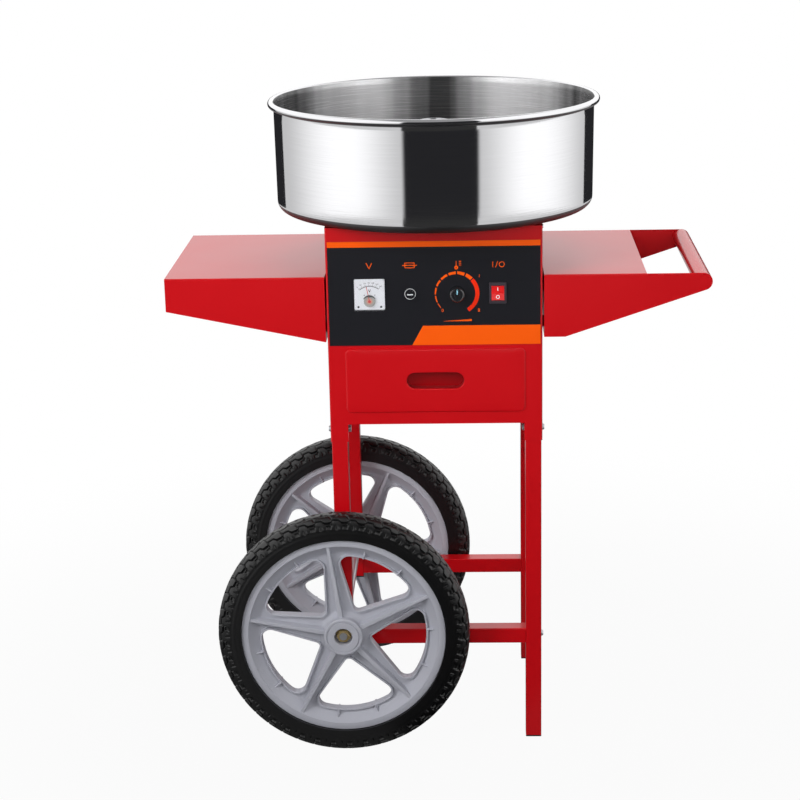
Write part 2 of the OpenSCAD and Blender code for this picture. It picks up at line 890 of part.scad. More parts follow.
module front_left_leg() {
    leg(-1, -1, left_leg_z);
}

module rear_left_leg() {
    leg(-1, 1, left_leg_z);
}

module front_right_leg() {
    leg(1, -1, plug_t);
}

module rear_right_leg() {
    leg(1, 1, plug_t);
}

// A square tube between two legs, with threaded end plates
module bar(sy) {
    half_l = leg_x - leg_w / 2;
    color("crimson") translate([0, sy * leg_y, bar_z]) difference() {
        along_x(-half_l, half_l) polygon(round_rect(leg_w, leg_w, leg_corner_r));
        along_x(bar_end_t - half_l, half_l - bar_end_t) square(leg_bore, center = true);
        rod_x(bolt_r + snug, -half_l - overrun, half_l + overrun);
    }
}

module front_bar() {
    bar(-1);
}

module rear_bar() {
    bar(1);
}

module leg_plugs() {
    color("black") for (sx = [-1, 1], sy = [-1, 1])
        translate([sx * leg_x, sy * leg_y, sx < 0 ? left_leg_z : plug_t]) {
            translate([0, 0, -plug_t]) linear_extrude(plug_t) polygon(round_rect(leg_w, leg_w, leg_corner_r));
            linear_extrude(plug_l) square(leg_bore - 2 * snug, center = true);
        }
}

// Bolts of the tabs with their nuts, and bolts into the ends of the bars
module frame_bolts() {
    tab_grip = sheet_t + leg_w;
    color("silver") {
        at_tab_bolts() headed(bolt_r, tab_grip + bolt_nut_h, bolt_head_r, bolt_head_h);
        at_tab_bolts() translate([0, 0, -tab_grip - bolt_nut_h])
            hex_nut(bolt_nut_af, bolt_nut_h, bolt_r + snug);
        at_bar_bolts() headed(bolt_r, leg_w + bolt_reach, bolt_head_r, bolt_head_h);
    }
}

module at_axle() {
    translate([-leg_x, 0, axle_z]) children();
}

module axle() {
    color("silver") at_axle() rod_y(axle_r, -axle_end, axle_end);
}

// At each end of the axle: a spacer against the leg, and a washer and a nut inside the hub's recess
module axle_fittings() {
    leg_face = cab_y - sheet_t;
    washer_y = axle_end - axle_tip - axle_nut_h - washer_t;
    color("darkgoldenrod") at_axle() for (turn = [0, 180]) rotate([0, 0, turn]) {
        difference() {
            rod_y(spacer_r, leg_face, leg_face + wheel_gap - slide_gap);
            rod_y(axle_r + snug, 0, axle_end);
        }
        difference() {
            rod_y(axle_washer_r, washer_y, washer_y + washer_t - snug);
            rod_y(axle_r + snug, 0, axle_end);
        }
        translate([0, washer_y + washer_t, 0]) rotate([-90, 0, 0])
            hex_nut(axle_nut_af, axle_nut_h, axle_r + snug);
    }
}

// Wheels, drawn flat with their outer face up

// Outline of a gap between two spokes: straight along them, round at its corners.
// Its sides lean towards the spokes, which therefore taper to the rim.
function window_outline(grow) =
    let (half = 180 / spoke_n + spoke_lean)
    let (side = window_side - grow)
    let (outer = window_r + grow)
    let (corner = window_corner_r + grow)
    let (root = window_root_r + grow)
    let (run = sqrt(pow(outer - corner, 2) - pow(side + corner, 2)))
    let (centre = [
        run * cos(half) + (side + corner) * sin(half),
        run * sin(half) - (side + corner) * cos(half)])
    let (turn = atan2(centre.y, centre.x))
    concat(
        arc([(side + root) / sin(half), 0], root, 90 + half, 270 - half, 10),
        arc([centre.x, -centre.y], corner, -90 - half, -turn),
        arc([0, 0], outer, -turn + half / 12, turn - half / 12, 10),
        arc(centre, corner, turn, 90 + half));

module wheel_windows(grow) {
    for (i = [0 : spoke_n - 1])
        rotate((i + 0.5) * 360 / spoke_n) polygon(window_outline(grow));
}

// A ridge along one spoke, on both faces: wide at the hub and narrow at the rim
module spoke_rib(end) {
    intersection() {
        along_x(0, end) polygon([
            [-rib_foot / 2, 0], [-rib_top / 2, -rib_h], [rib_top / 2, -rib_h],
            [rib_foot / 2, 0], [rib_top / 2, rib_h], [-rib_top / 2, rib_h]]);
        linear_extrude(3 * rib_h, center = true) polygon([
            [hub_d / 4, -rib_foot / 2], [end, -rib_tip / 2], [end, rib_tip / 2], [hub_d / 4, rib_foot / 2]]);
    }
}

module wheel_casting(spoke_angle) {
    web_r = rim_r - rim_floor + overrun;
    rib_end = rim_r - rim_lip - overrun;
    difference() {
        rotate(spoke_angle) union() {
            rotate_extrude() polygon([
                [rim_r - rim_floor, -rim_floor_w / 2], [rim_r - rim_lip, -rim_w / 2], [rim_r, -rim_w / 2],
                [rim_r, -rim_seat_w / 2 - rim_seat_slope], [rim_r - rim_seat, -rim_seat_w / 2],
                [rim_r - rim_seat, rim_seat_w / 2], [rim_r, rim_seat_w / 2 + rim_seat_slope],
                [rim_r, rim_w / 2], [rim_r - rim_lip, rim_w / 2], [rim_r - rim_floor, rim_floor_w / 2]]);
            linear_extrude(web_t, center = true) difference() {
                circle(web_r);
                wheel_windows(0);
            }
            linear_extrude(border_w, center = true) difference() {
                wheel_windows(border_t);
                wheel_windows(0);
            }
            cylinder(d = hub_d, h = hub_w, center = true);
            for (i = [0 : spoke_n - 1]) rotate(i * 360 / spoke_n) {
                spoke_rib(rib_end);
                for (lean = [-gusset_angle, gusset_angle])
                    rotate(180 / spoke_n + lean)
                        translate([(window_r + rib_end + border_t / 2) / 2, 0, 0])
                            cube([rib_end - window_r - border_t / 2, gusset_t, gusset_w], center = true);
            }
        }
        translate([0, 0, -hub_w / 2 - overrun]) cylinder(r = bush_r, h = hub_w + 2 * overrun);
        translate([0, 0, hub_w / 2 - recess_depth]) cylinder(r = recess_r, h = recess_depth + overrun);
        translate([0, 0, hub_w / 2 - hub_groove_depth]) linear_extrude(hub_groove_depth + overrun)
            difference() {
                circle(hub_groove_r);
                circle(hub_groove_r - hub_groove_w);
            }
    }
}

// Section of a tyre: a bead in the rim's seat under a boxy oval
function tyre_section() =
    let (seat = rim_r - rim_seat + snug)
    let (foot = rim_r + slide_gap)
    let (bead = rim_seat_w / 2 - snug)
    concat(
        [[foot, bead + rim_seat_slope], [seat, bead], [seat, -bead], [foot, -bead - rim_seat_slope]],
        [for (i = [0 : tyre_steps]) let (a = 180 * i / tyre_steps) [
            foot + (axle_z - foot) * pow(sin(a), tyre_bow_share),
            -tyre_w / 2 * sign(cos(a)) * pow(abs(cos(a)), tyre_bow_share)]]);

module tyre() {
    rotate_extrude() polygon(tyre_section());
}

// One bush at the hub's inner face and one at the floor of the nut's recess
module wheel_bushes() {
    for (z = [-hub_w / 2, hub_w / 2 - recess_depth - bush_l])
        translate([0, 0, z]) difference() {
            cylinder(r = bush_r - snug, h = bush_l);
            translate([0, 0, -overrun]) cylinder(r = axle_r + run_gap, h = bush_l + 2 * overrun);
        }
}

// Stands a wheel on the axle's front (-1) or rear (1) end, its outer face outwards
module at_wheel(side) {
    translate([-leg_x, side * wheel_y, axle_z]) rotate([-90 * side, 0, 0]) children();
}

module front_wheel() {
    color("darkgray") at_wheel(-1) wheel_casting(front_spoke_angle);
}

module front_tyre() {
    color("black") at_wheel(-1) tyre();
}

module front_wheel_bushes() {
    color("ivory") at_wheel(-1) wheel_bushes();
}

module rear_wheel() {
    color("darkgray") at_wheel(1) wheel_casting(rear_spoke_angle);
}

module rear_tyre() {
    color("black") at_wheel(1) tyre();
}

module rear_wheel_bushes() {
    color("ivory") at_wheel(1) wheel_bushes();
}

// Shelves and handle

// Section of a shelf: a level top between two side plates with round upper edges, and a fine seam at each
module shelf_section(h) {
    y = shelf_d / 2;
    difference() {
        polygon(concat(
            [[y - shelf_t, -h], [y, -h]],
            arc([y - shelf_bend_r, -shelf_bend_r], shelf_bend_r, 0, 90),
            arc([shelf_bend_r - y, -shelf_bend_r], shelf_bend_r, 90, 180),
            [[-y, -h], [shelf_t - y, -h], [shelf_t - y, -shelf_t], [y - shelf_t, -shelf_t]]));
        for (side = [-1, 1])
            translate([side * (y - shelf_t - snug / 2), 0]) square([snug, 3 * shelf_t], center = true);
    }
}

// The upright plate that closes a shelf across its depth, inside the seams
module shelf_end(from, to, h) {
    y = shelf_d / 2 - shelf_t - snug;
    box([from, -y, shelf_z - h], [to, y, shelf_z - shelf_t - snug]);
}

module left_shelf() {
    color("crimson") difference() {
        union() {
            translate([0, 0, shelf_z]) intersection() {
                along_x(-left_reach, -shelf_x) shelf_section(left_root_h);
                along_y(-shelf_d, shelf_d) polygon([
                    [-left_reach, 0], [-left_reach, -left_end_h], [-shelf_x, -left_root_h], [-shelf_x, 0]]);
            }
            shelf_end(-left_reach, shelf_t - left_reach, left_end_h);
            shelf_end(-shelf_x - shelf_t, -shelf_x, left_root_h);
        }
        at_shelf_screws(-1, left_root_h) translate([0, 0, shelf_gap + shelf_t])
            screw_hole(screw_r, shelf_t + overrun);
    }
}

// Outline of the side plates: level at the cabinet, then rising to a round end about the handle
function side_plate_outline() =
    let (centre = [shelf_x + handle_reach, -handle_r])
    let (knee = [shelf_x + knee_l, -right_root_h])
    let (rise = centre - knee)
    let (slope = atan2(rise.y, rise.x) - asin(handle_r / norm(rise)))
    concat(
        [[shelf_x, -right_root_h], knee],
        arc(centre, handle_r, slope - 90, 90, 24),
        [[shelf_x, 0]]);

module right_shelf() {
    color("crimson") difference() {
        union() {
            translate([0, 0, shelf_z]) difference() {
                intersection() {
                    along_x(shelf_x, right_reach) shelf_section(right_root_h);
                    along_y(-shelf_d, shelf_d) polygon(side_plate_outline());
                }
                box([shelf_x + right_shelf_l, shelf_t - shelf_d / 2, -2 * shelf_t],
                    [right_reach, shelf_d / 2 - shelf_t, shelf_t]);
            }
            shelf_end(shelf_x, shelf_x + shelf_t, right_root_h);
        }
        at_shelf_screws(1, right_root_h) translate([0, 0, shelf_gap + shelf_t])
            screw_hole(screw_r, shelf_t + overrun);
    }
}

module push_handle() {
    half_l = shelf_d / 2 - shelf_t;
    color("crimson") translate([shelf_x + handle_reach, 0, shelf_z - handle_r]) difference() {
        rod_y(handle_r, -half_l, half_l);
        rod_y(handle_r - tube_wall, -half_l - overrun, half_l + overrun);
    }
}

module shelf_washers() {
    color("black") at_both_shelves() linear_extrude(shelf_gap) difference() {
        circle(washer_r);
        circle(screw_r + snug);
    }
}

// Drawer

module drawer_tray() {
    front = -cab_y;
    cup = cup_wall + slide_gap;
    color("firebrick") difference() {
        box([-tray_w / 2, front, tray_z], [tray_w / 2, front + drawer_l, tray_z + tray_h]);
        box([tray_t - tray_w / 2, front + tray_t, tray_z + tray_t],
            [tray_w / 2 - tray_t, front + drawer_l - tray_t, tray_z + tray_h + overrun]);
        translate([0, 0, drawer_z]) along_y(front - overrun, front + tray_t + overrun)
            polygon(obround(slot_w + 2 * cup, slot_h + 2 * cup));
    }
}

module drawer_front() {
    color("crimson") translate([0, 0, drawer_z]) along_y(-cab_y - drawer_front_t, -cab_y) difference() {
        polygon(round_rect(drawer_front_w, drawer_front_h, drawer_front_corner_r));
        polygon(obround(slot_w, slot_h));
    }
}

module drawer_finger_cup() {
    color("crimson") translate([0, 0, drawer_z]) difference() {
        along_y(-cab_y, cup_depth - cab_y) polygon(obround(slot_w + 2 * cup_wall, slot_h + 2 * cup_wall));
        along_y(-cab_y - overrun, cup_depth - cup_wall - cab_y) polygon(obround(slot_w, slot_h));
    }
}

// Bowl

module bowl_gasket() {
    color("black") translate([0, 0, deck_z]) linear_extrude(gasket_t) difference() {
        circle(collar_r + snug + gasket_w);
        circle(collar_r + snug);
    }
}

// Section of the bowl from its hole out to the wall and up to the rim, and back along the inside
function bowl_section(top) =
    let (wall_r = bowl_d / 2 - rim_roll)
    let (foot_r = wall_r - bowl_taper)
    let (centre = [foot_r - bowl_corner_r, bowl_corner_r])
    concat(
        [[bowl_hole_d / 2, 0]],
        arc(centre, bowl_corner_r, -90, 0),
        [[wall_r, top], [wall_r - bowl_wall, top]],
        arc(centre, bowl_corner_r - bowl_wall, 0, -90),
        [[bowl_hole_d / 2, bowl_wall]]);

module bowl() {
    bead_r = (rim_roll + bowl_wall + slide_gap) / 2;
    color("gainsboro") translate([0, 0, bowl_z]) rotate_extrude() {
        polygon(bowl_section(bowl_h - bead_r));
        translate([bowl_d / 2 - bead_r, bowl_h - bead_r]) circle(bead_r);
    }
}

// Motor and head

module motor_plate() {
    half = post_place + plate_margin;
    color("silver") translate([0, 0, plate_z]) difference() {
        linear_extrude(plate_t) polygon(round_rect(2 * half, 2 * half, plate_margin));
        translate([0, 0, -overrun]) cylinder(r = bearing_r, h = plate_t + 2 * overrun);
        at_posts() translate([0, 0, plate_t]) screw_hole(screw_r, plate_t + overrun);
    }
}

module motor_posts() {
    color("silver") translate([0, 0, plate_z + plate_t]) at_posts() difference() {
        cylinder(r = post_r, h = post_l);
        for (z = [-overrun, post_l - screw_l])
            translate([0, 0, z]) cylinder(r = screw_r + snug, h = screw_l + overrun);
    }
}

module motor_can() {
    inside_h = motor_h - 2 * motor_end_t;
    color("dimgray") translate([0, 0, motor_z]) difference() {
        cylinder(r = motor_r, h = motor_h);
        translate([0, 0, motor_end_t]) cylinder(r = motor_r - motor_wall, h = inside_h);
        translate([0, 0, motor_end_t - bearing_h]) cylinder(r = bearing_r, h = inside_h + 2 * bearing_h);
        translate([0, 0, -overrun]) cylinder(r = bearing_r - motor_wall, h = motor_h + 2 * overrun);
    }
}

module motor_stator() {
    color("peru") translate([0, 0, motor_z + (motor_h - rotor_l) / 2]) linear_extrude(rotor_l) difference() {
        circle(motor_r - motor_wall - snug);
        circle(rotor_r + rotor_gap);
    }
}

module motor_bearings() {
    color("silver") for (z = [motor_end_t - bearing_h, motor_h - motor_end_t])
        translate([0, 0, motor_z + z]) difference() {
            cylinder(r = bearing_r - snug, h = bearing_h);
            translate([0, 0, -overrun]) cylinder(r = shaft_r + run_gap, h = bearing_h + 2 * overrun);
        }
}

// A moulded block on the motor plate that holds two carbon brushes against the slip rings
module brush_block() {
    color("saddlebrown") translate([slip_ring_r + block_gap, -block_w / 2, plate_z + plate_t])
        cube([block_l, block_w, block_h]);
}

module carbon_brushes() {
    color("black") for (step = [0, slip_ring_step])
        translate([slip_ring_r + slide_gap, -brush_w / 2, slip_z + step + (slip_ring_w - brush_h) / 2])
            cube([block_gap - slide_gap, brush_w, brush_h]);
}

// The shaft, in one piece with the motor's rotor core
module drive_shaft() {
    color("silver") {
        translate([0, 0, motor_z]) cylinder(r = shaft_r, h = shaft_top - motor_z);
        translate([0, 0, motor_z + (motor_h - rotor_l) / 2]) cylinder(r = rotor_r, h = rotor_l);
    }
}

// Two rings on one sleeve, which bring the current to the heater in the turning head
module slip_rings() {
    color("peru") translate([0, 0, slip_z]) difference() {
        union() {
            cylinder(r = slip_body_r, h = slip_sleeve_l);
            for (step = [0, slip_ring_step])
                translate([0, 0, step]) cylinder(r = slip_ring_r, h = slip_ring_w);
        }
        translate([0, 0, -overrun]) cylinder(r = shaft_r + snug, h = slip_sleeve_l + 2 * overrun);
    }
}

module at_head_screws() {
    for (i = [0 : head_screw_n - 1])
        rotate(i * 360 / head_screw_n) translate([head_r * head_screw_place_share, 0, 0]) children();
}

// The dish on the shaft, with the pillars that carry the cap
module head_base() {
    color("silver") translate([0, 0, head_z]) difference() {
        union() {
            cylinder(r = head_r, h = base_t);
            translate([0, 0, -base_hub_l]) cylinder(r = base_hub_r, h = base_hub_l);
            translate([0, 0, base_t]) at_head_screws() cylinder(r = screw_head_r, h = head_band_h);
        }
        translate([0, 0, -base_hub_l - overrun])
            cylinder(r = shaft_r + snug, h = base_hub_l + base_t + 2 * overrun);
        translate([0, 0, base_t + head_band_h]) at_head_screws() screw_hole(screw_r, screw_l);
    }
}

// The slotted band that the melted sugar is thrown through
module head_band() {
    band_r = head_r - band_inset;
    color("silver") translate([0, 0, head_z + base_t]) difference() {
        linear_extrude(head_band_h) difference() {
            circle(band_r);
            circle(band_r - band_t);
        }
        for (i = [0 : band_slots - 1]) rotate(i * 360 / band_slots)
            translate([band_r - band_t / 2, 0, head_band_h / 2])
                cube([3 * band_t, band_slot_w, head_band_h - 2 * band_slot_margin], center = true);
    }
}

module heater_ring() {
    color("peru") translate([0, 0, head_z + base_t]) linear_extrude(heater_h) difference() {
        circle(heater_r);
        circle(heater_r - heater_t);
    }
}

// The lid with its sugar funnel
module head_cap() {
    top_r = funnel_d / 2;
    color("silver") translate([0, 0, head_z + base_t + head_band_h]) difference() {
        rotate_extrude() polygon([
            [funnel_throat_r, 0], [head_r, 0], [head_r, cap_t - cap_rim_r], [head_r - cap_rim_r, cap_t],
            [funnel_throat_r + 2 * funnel_wall, cap_t], [top_r, cap_t + funnel_h],
            [top_r - funnel_wall, cap_t + funnel_h], [funnel_throat_r, cap_t]]);
        translate([0, 0, cap_t]) at_head_screws() screw_hole(screw_r, cap_t + overrun);
    }
}

// The cap's screws, and the nut that holds the dish on the shaft
module head_screws() {
    color("silver") {
        translate([0, 0, head_z + base_t + head_band_h + cap_t]) at_head_screws()
            machine_screw(screw_l);
        translate([0, 0, head_z + base_t]) hex_nut(head_nut_af, head_nut_h, shaft_r + snug);
    }
}

on_cart() cabinet_shell();
on_cart() back_panel();
on_cart() top_deck();
on_cart() cabinet_floor();
on_cart() divider_plate();
on_cart() drawer_runners();
on_cart() control_panel();
on_cart() case_screws();
on_cart() cable_gland();
on_cart() meter_base();
on_cart() meter_dial();
on_cart() meter_coil();
on_cart() meter_cover();
on_cart() meter_needle();
on_cart() fuse_holder();
on_cart() fuse_cap();
on_cart() heat_control();
on_cart() knob_shaft();
on_cart() heat_knob();
on_cart() switch_body();
on_cart() switch_rocker();
on_cart() front_left_leg();
on_cart() rear_left_leg();
on_cart() front_right_leg();
on_cart() rear_right_leg();
on_cart() front_bar();
on_cart() rear_bar();
on_cart() leg_plugs();
on_cart() frame_bolts();
on_cart() axle();
on_cart() axle_fittings();
on_cart() front_wheel();
on_cart() front_tyre();
on_cart() front_wheel_bushes();
on_cart() rear_wheel();
on_cart() rear_tyre();
on_cart() rear_wheel_bushes();
on_cart() left_shelf();
on_cart() right_shelf();
on_cart() push_handle();
on_cart() shelf_washers();
on_cart() drawer_tray();
on_cart() drawer_front();
on_cart() drawer_finger_cup();
on_cart() bowl_gasket();
on_cart() bowl();
on_cart() motor_plate();
on_cart() motor_posts();
on_cart() motor_can();
on_cart() motor_stator();
on_cart() motor_bearings();
on_cart() brush_block();
on_cart() carbon_brushes();
on_cart() drive_shaft();
on_cart() slip_rings();
on_cart() head_base();
on_cart() head_band();
on_cart() heater_ring();
on_cart() head_cap();
on_cart() head_screws();
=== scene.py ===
# %% [markdown]
# # Dressing a cotton candy cart
# The cart is a red sheet-steel cabinet on square legs and two spoked wheels, with a polished bowl on top.
# Its solids come in as a fixed frame. This lesson gives each solid a finish, and makes again, as smooth
# surfaces, the pieces whose beauty is in their curves: the bowl, the wheels, the tyres, the knob and the
# drawer's front. The frame is in metres. Sizes below are in millimetres, and make_piece divides them by 1000.

# %% Load the frame
import json
import bmesh
import bpy
import numpy as np
from mathutils import Matrix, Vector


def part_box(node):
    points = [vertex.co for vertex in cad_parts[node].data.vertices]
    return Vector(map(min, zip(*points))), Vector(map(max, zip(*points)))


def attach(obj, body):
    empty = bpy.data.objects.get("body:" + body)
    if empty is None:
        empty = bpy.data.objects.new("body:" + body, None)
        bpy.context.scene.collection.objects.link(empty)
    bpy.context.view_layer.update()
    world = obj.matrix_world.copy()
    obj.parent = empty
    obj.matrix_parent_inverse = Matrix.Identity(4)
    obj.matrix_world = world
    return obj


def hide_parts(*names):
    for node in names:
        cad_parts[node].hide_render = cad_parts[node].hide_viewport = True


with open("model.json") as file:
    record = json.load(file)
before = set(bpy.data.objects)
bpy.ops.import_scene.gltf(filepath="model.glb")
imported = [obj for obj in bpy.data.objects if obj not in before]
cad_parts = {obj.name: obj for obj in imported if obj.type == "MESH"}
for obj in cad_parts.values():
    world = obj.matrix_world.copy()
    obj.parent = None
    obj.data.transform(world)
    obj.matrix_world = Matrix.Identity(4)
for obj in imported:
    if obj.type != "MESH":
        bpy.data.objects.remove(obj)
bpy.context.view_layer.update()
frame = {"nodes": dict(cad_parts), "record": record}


def node_box(name):
    """Lowest and highest corner of a frame node, in millimetres."""
    return [np.array(corner) * 1000 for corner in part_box(name)]


def add_object(name, data):
    """A new object in the scene, for a mesh, a lamp, a lens or a text."""
    new = bpy.data.objects.new(name, data)
    bpy.context.scene.collection.objects.link(new)
    return new


# %% [markdown]
# A finish is a small network of shader nodes. Wiring nodes by hand hides the sums that they do, so a wrapped
# socket does the sums in Python: `1 - mask` adds the Math node that it stands for. Every other kind of node
# goes through one method, which first sets the node's own choices and then fills its sockets.


# %% A socket that does sums
class Shade:
    """A shader socket, or an empty start, in one node tree."""

    def __init__(self, tree, socket=None):
        self.tree, self.socket = tree, socket

    def node(self, kind, settings=(), inputs=(), out=0):
        """Add a node: its settings first, then a value or a link for each input socket."""
        new = self.tree.nodes.new("ShaderNode" + kind)
        for name, value in dict(settings).items():
            setattr(new, name, value)
        for name, value in dict(inputs).items():
            if isinstance(value, Shade):
                self.tree.links.new(value.socket, new.inputs[name])
            else:
                new.inputs[name].default_value = value
        return Shade(self.tree, new.outputs[out] if new.outputs else None)

    def outputs(self, *names):
        """The named outputs of the node that this socket belongs to."""
        return [Shade(self.tree, self.socket.node.outputs[name]) for name in names]

    def math(self, operation, first, second=0.0):
        """A sum on one or two values, by the name of its operation."""
        return self.node("Math", {"operation": operation}, {0: first, 1: second})

    def __add__(self, other):
        return self.math("ADD", self, other)

    def __sub__(self, other):
        return self.math("SUBTRACT", self, other)

    def __rsub__(self, other):
        return self.math("SUBTRACT", other, self)

    def __mul__(self, other):
        return self.math("MULTIPLY", self, other)

    def __truediv__(self, other):
        return self.math("DIVIDE", self, other)

    def __rtruediv__(self, other):
        return self.math("DIVIDE", other, self)

    def __lt__(self, other):
        return self.math("LESS_THAN", self, other)

    def __gt__(self, other):
        return self.math("GREATER_THAN", self, other)

    def __abs__(self):
        return self.math("ABSOLUTE", self)

    __radd__, __rmul__ = __add__, __mul__

    def mix(self, low, high):
        """The colour low where this value is 0 and high where it is 1."""
        return self.node("Mix", {"data_type": "RGBA"}, {0: self, 6: low, 7: high}, 2)

    def smooth(self, low, high, start=0.0, end=1.0):
        """A smooth change from start to end while this value goes from low to high."""
        return self.node("MapRange", {"interpolation_type": "SMOOTHSTEP"},
                         {"Value": self, "From Min": low, "From Max": high, "To Min": start, "To Max": end})

    def noise(self, scale, detail=2.0):
        """Noise from 0 to 1 at this place, with so many cells to a unit of length."""
        return self.node("TexNoise", {}, {"Vector": self, "Scale": scale, "Detail": detail})

    def feed(self, shader, socket):
        """Link this value to a named socket of a shader."""
        self.tree.links.new(self.socket, shader.inputs[socket])

    def emboss(self, shader, strength, distance=0.0002):
        """Tilt a shader's normal as if this value were a height."""
        bump = self.node("Bump", {}, {"Strength": strength, "Distance": distance, "Height": self})
        bump.feed(shader, "Normal")


def shaded(colour, share=1.0):
    """A colour as a picture stores it, 0 to 255, made linear as a shader needs it, then lighter or darker."""
    c = np.array(colour) / 255
    linear = np.where(c <= 0.04045, c / 12.92, ((c + 0.055) / 1.055) ** 2.4)
    return (*np.minimum(1.0, linear * share).tolist(), 1.0)


finishes = {}


def new_finish(name, constants):
    """Start a finish, with unvarying sockets set on its shader; gives its pattern's place and the shader."""
    finishes[name] = material = bpy.data.materials.new(name)
    material.use_nodes = True
    shader = material.node_tree.nodes["Principled BSDF"]
    for socket, value in constants.items():
        shader.inputs[socket].default_value = value
    return Shade(material.node_tree).node("TexCoord", out="Object"), shader


print("sockets can do sums")

# %% [markdown]
# Powder coat is sprayed as dry dust and baked, so it flows into a gloss with a faint orange peel. Two noises
# make it: a wide one that drifts the red and the gloss a little from place to place, and a fine one for the
# peel, which only tilts the light. A flat red would look like plastic. The drawer's finger cup gets a darker
# red, which is painted shade for the inside of that deep pocket.


# %% Powder coat
def powder_coat(name, colour):
    """Sprayed and baked colour under a gloss: base roughness and colour drift with a wide noise."""
    place, shader = new_finish(
        name, {"Coat Weight": 0.55, "Coat Roughness": 0.08, "Coat IOR": 1.45, "Specular IOR Level": 0.3})
    drift, peel = place.noise(7.0, 3.0), place.noise(900.0, 1.0)
    drift.mix(shaded(colour, 0.94), shaded(colour, 1.06)).feed(shader, "Base Color")
    (0.275 + 0.08 * drift).feed(shader, "Roughness")
    peel.emboss(shader, 0.02)


powder_coat("red_powder_coat", (202, 5, 17))
# A darker red for the finger cup: painted shade for the inside of the pocket.
powder_coat("painted_shade_powder_coat", (150, 3, 11))
print("made", *finishes)

# %% [markdown]
# Metal shows what is around it, so its finish is mostly roughness. A turned or brushed face has fine
# scratches in one direction: noise that is stretched along the scratches does that, and it goes into the
# roughness and a slight bump. The stretch is a vector of three scales, one for each axis.


# %% Metals
def worked_metal(name, colour, roughness, scratches, bump=0.05, metallic=1.0):
    """Metal with scratches; `scratches` is how many noise cells a metre has along X, Y and Z."""
    place, shader = new_finish(name, {"Metallic": metallic})
    stretched = place.node("VectorMath", {"operation": "MULTIPLY"}, {0: place, 1: scratches})
    streak, drift = stretched.noise(1.0, 3.0), place.noise(12.0)
    streak.mix(shaded(colour, 0.93), shaded(colour, 1.05)).feed(shader, "Base Color")
    (roughness * 0.8 + roughness * 0.25 * streak + roughness * 0.2 * drift).feed(shader, "Roughness")
    streak.emboss(shader, bump)


for row in (
    # Name, colour, roughness, scratches, bump, metallic
    ("zinc_plate", (205, 207, 212), 0.3, (500, 500, 500), 0.05, 0.75),
    ("yellow_passivated_zinc", (186, 162, 112), 0.34, (400, 400, 400), 0.05, 0.5),
    ("bright_chrome", (225, 226, 230), 0.2, (300, 300, 300), 0.01, 0.8),
    ("copper_wire", (200, 122, 78), 0.35, (900, 900, 4000), 0.3),
    ("grey_enamel_case", (92, 95, 102), 0.42, (600, 600, 600), 0.05, 0.2),
):
    worked_metal(*row)
print("made the metals")

# %% [markdown]
# Spun metal is scratched in rings round its axis. In a ring the radius and the height stay the same, so noise
# that changes fast with radius and height, and slowly with place, gives rings with no seam. A brushed bowl
# spreads each light into an upright streak; those streaks are painted reflection in the base colour, which
# goes from dark to light and back round the axis.

# %% Spun metal
bowl_low, bowl_high = node_box("bowl")
bowl_axis = (bowl_low + bowl_high) / 2


def spun_metal(name, colour, roughness, rings, ripple, bump, metallic=1.0, painted_dark_share=None):
    """Metal with `rings` noise cells to a metre round the bowl's axis, and waves that grow with `ripple`.

    Where `painted_dark_share` is given, that share of the colour is left beside painted streaks of light."""
    place, shader = new_finish(name, {"Metallic": metallic})
    x, y, z = place.node("SeparateXYZ", {}, {0: place}).outputs("X", "Y", "Z")
    x, y = x - bowl_axis[0] / 1000, y - bowl_axis[1] / 1000
    radius = place.math("POWER", x * x + y * y, 0.5)
    ring_place = place.node("CombineXYZ", {}, {0: x * 9.0, 1: y * 9.0, 2: radius * rings + z * rings})
    wave_place = place.node("CombineXYZ", {}, {0: x / radius * ripple, 1: y / radius * ripple, 2: z * 1.5})
    ring, wave = ring_place.noise(1.0), wave_place.noise(1.0, 1.0)
    tint = ring.mix(shaded(colour, 0.93), shaded(colour, 1.04))
    if painted_dark_share:
        # Painted reflection: bands of light round the axis, with painted shade between them, go into the base
        # colour.
        bearing = abs(place.math("ARCTAN2", x, y))
        aside = np.pi / 2 - abs(bearing - np.pi / 2)
        painted_streaks = aside.smooth(0.06, 0.5) * (1 - aside.smooth(0.5, 1.3)) + 0.5 * (wave - 0.5)
        tint = painted_streaks.mix(shaded(colour, painted_dark_share), tint)
    tint.feed(shader, "Base Color")
    (roughness * 0.7 + roughness * 0.6 * ring).feed(shader, "Roughness")
    (ring + 4.0 * wave).emboss(shader, bump, 0.0004)


for row in (
    # Name, colour, roughness, rings, ripple, bump, metallic, share of colour left between the painted streaks
    ("polished_steel", (247, 247, 249), 0.06, 900, 5, 0.03),
    ("brushed_steel_painted_streaks", (240, 240, 241), 0.26, 1500, 11, 0.06, 0.35, 0.05),
    ("dull_steel", (112, 112, 114), 0.5, 900, 5, 0.05),
    ("turned_aluminium", (214, 215, 218), 0.28, 2200, 2, 0.1),
):
    spun_metal(*row)
print("made the spun metals, about an axis at", np.round(bowl_axis[:2], 2), "mm")

# %% [markdown]
# Moulded plastic and rubber copy the skin of their mould: a fine grain, and a gloss that is never quite even.
# One recipe with a few sizes serves the grey wheels, the black knob, the white meter, the tyres and the ink.


# %% Plastics, rubber and print
def moulded(name, colour, roughness, grain, bump, coat=0.0, shine=0.4):
    """Plastic or rubber with a grain of that many noise cells to a metre."""
    place, shader = new_finish(
        name, {"Coat Weight": coat, "Coat Roughness": 0.1, "Specular IOR Level": shine})
    skin, drift = place.noise(grain), place.noise(18.0, 3.0)
    drift.mix(shaded(colour, 0.93), shaded(colour, 1.07)).feed(shader, "Base Color")
    (roughness - 0.06 + 0.08 * skin + 0.06 * drift).feed(shader, "Roughness")
    skin.emboss(shader, bump)


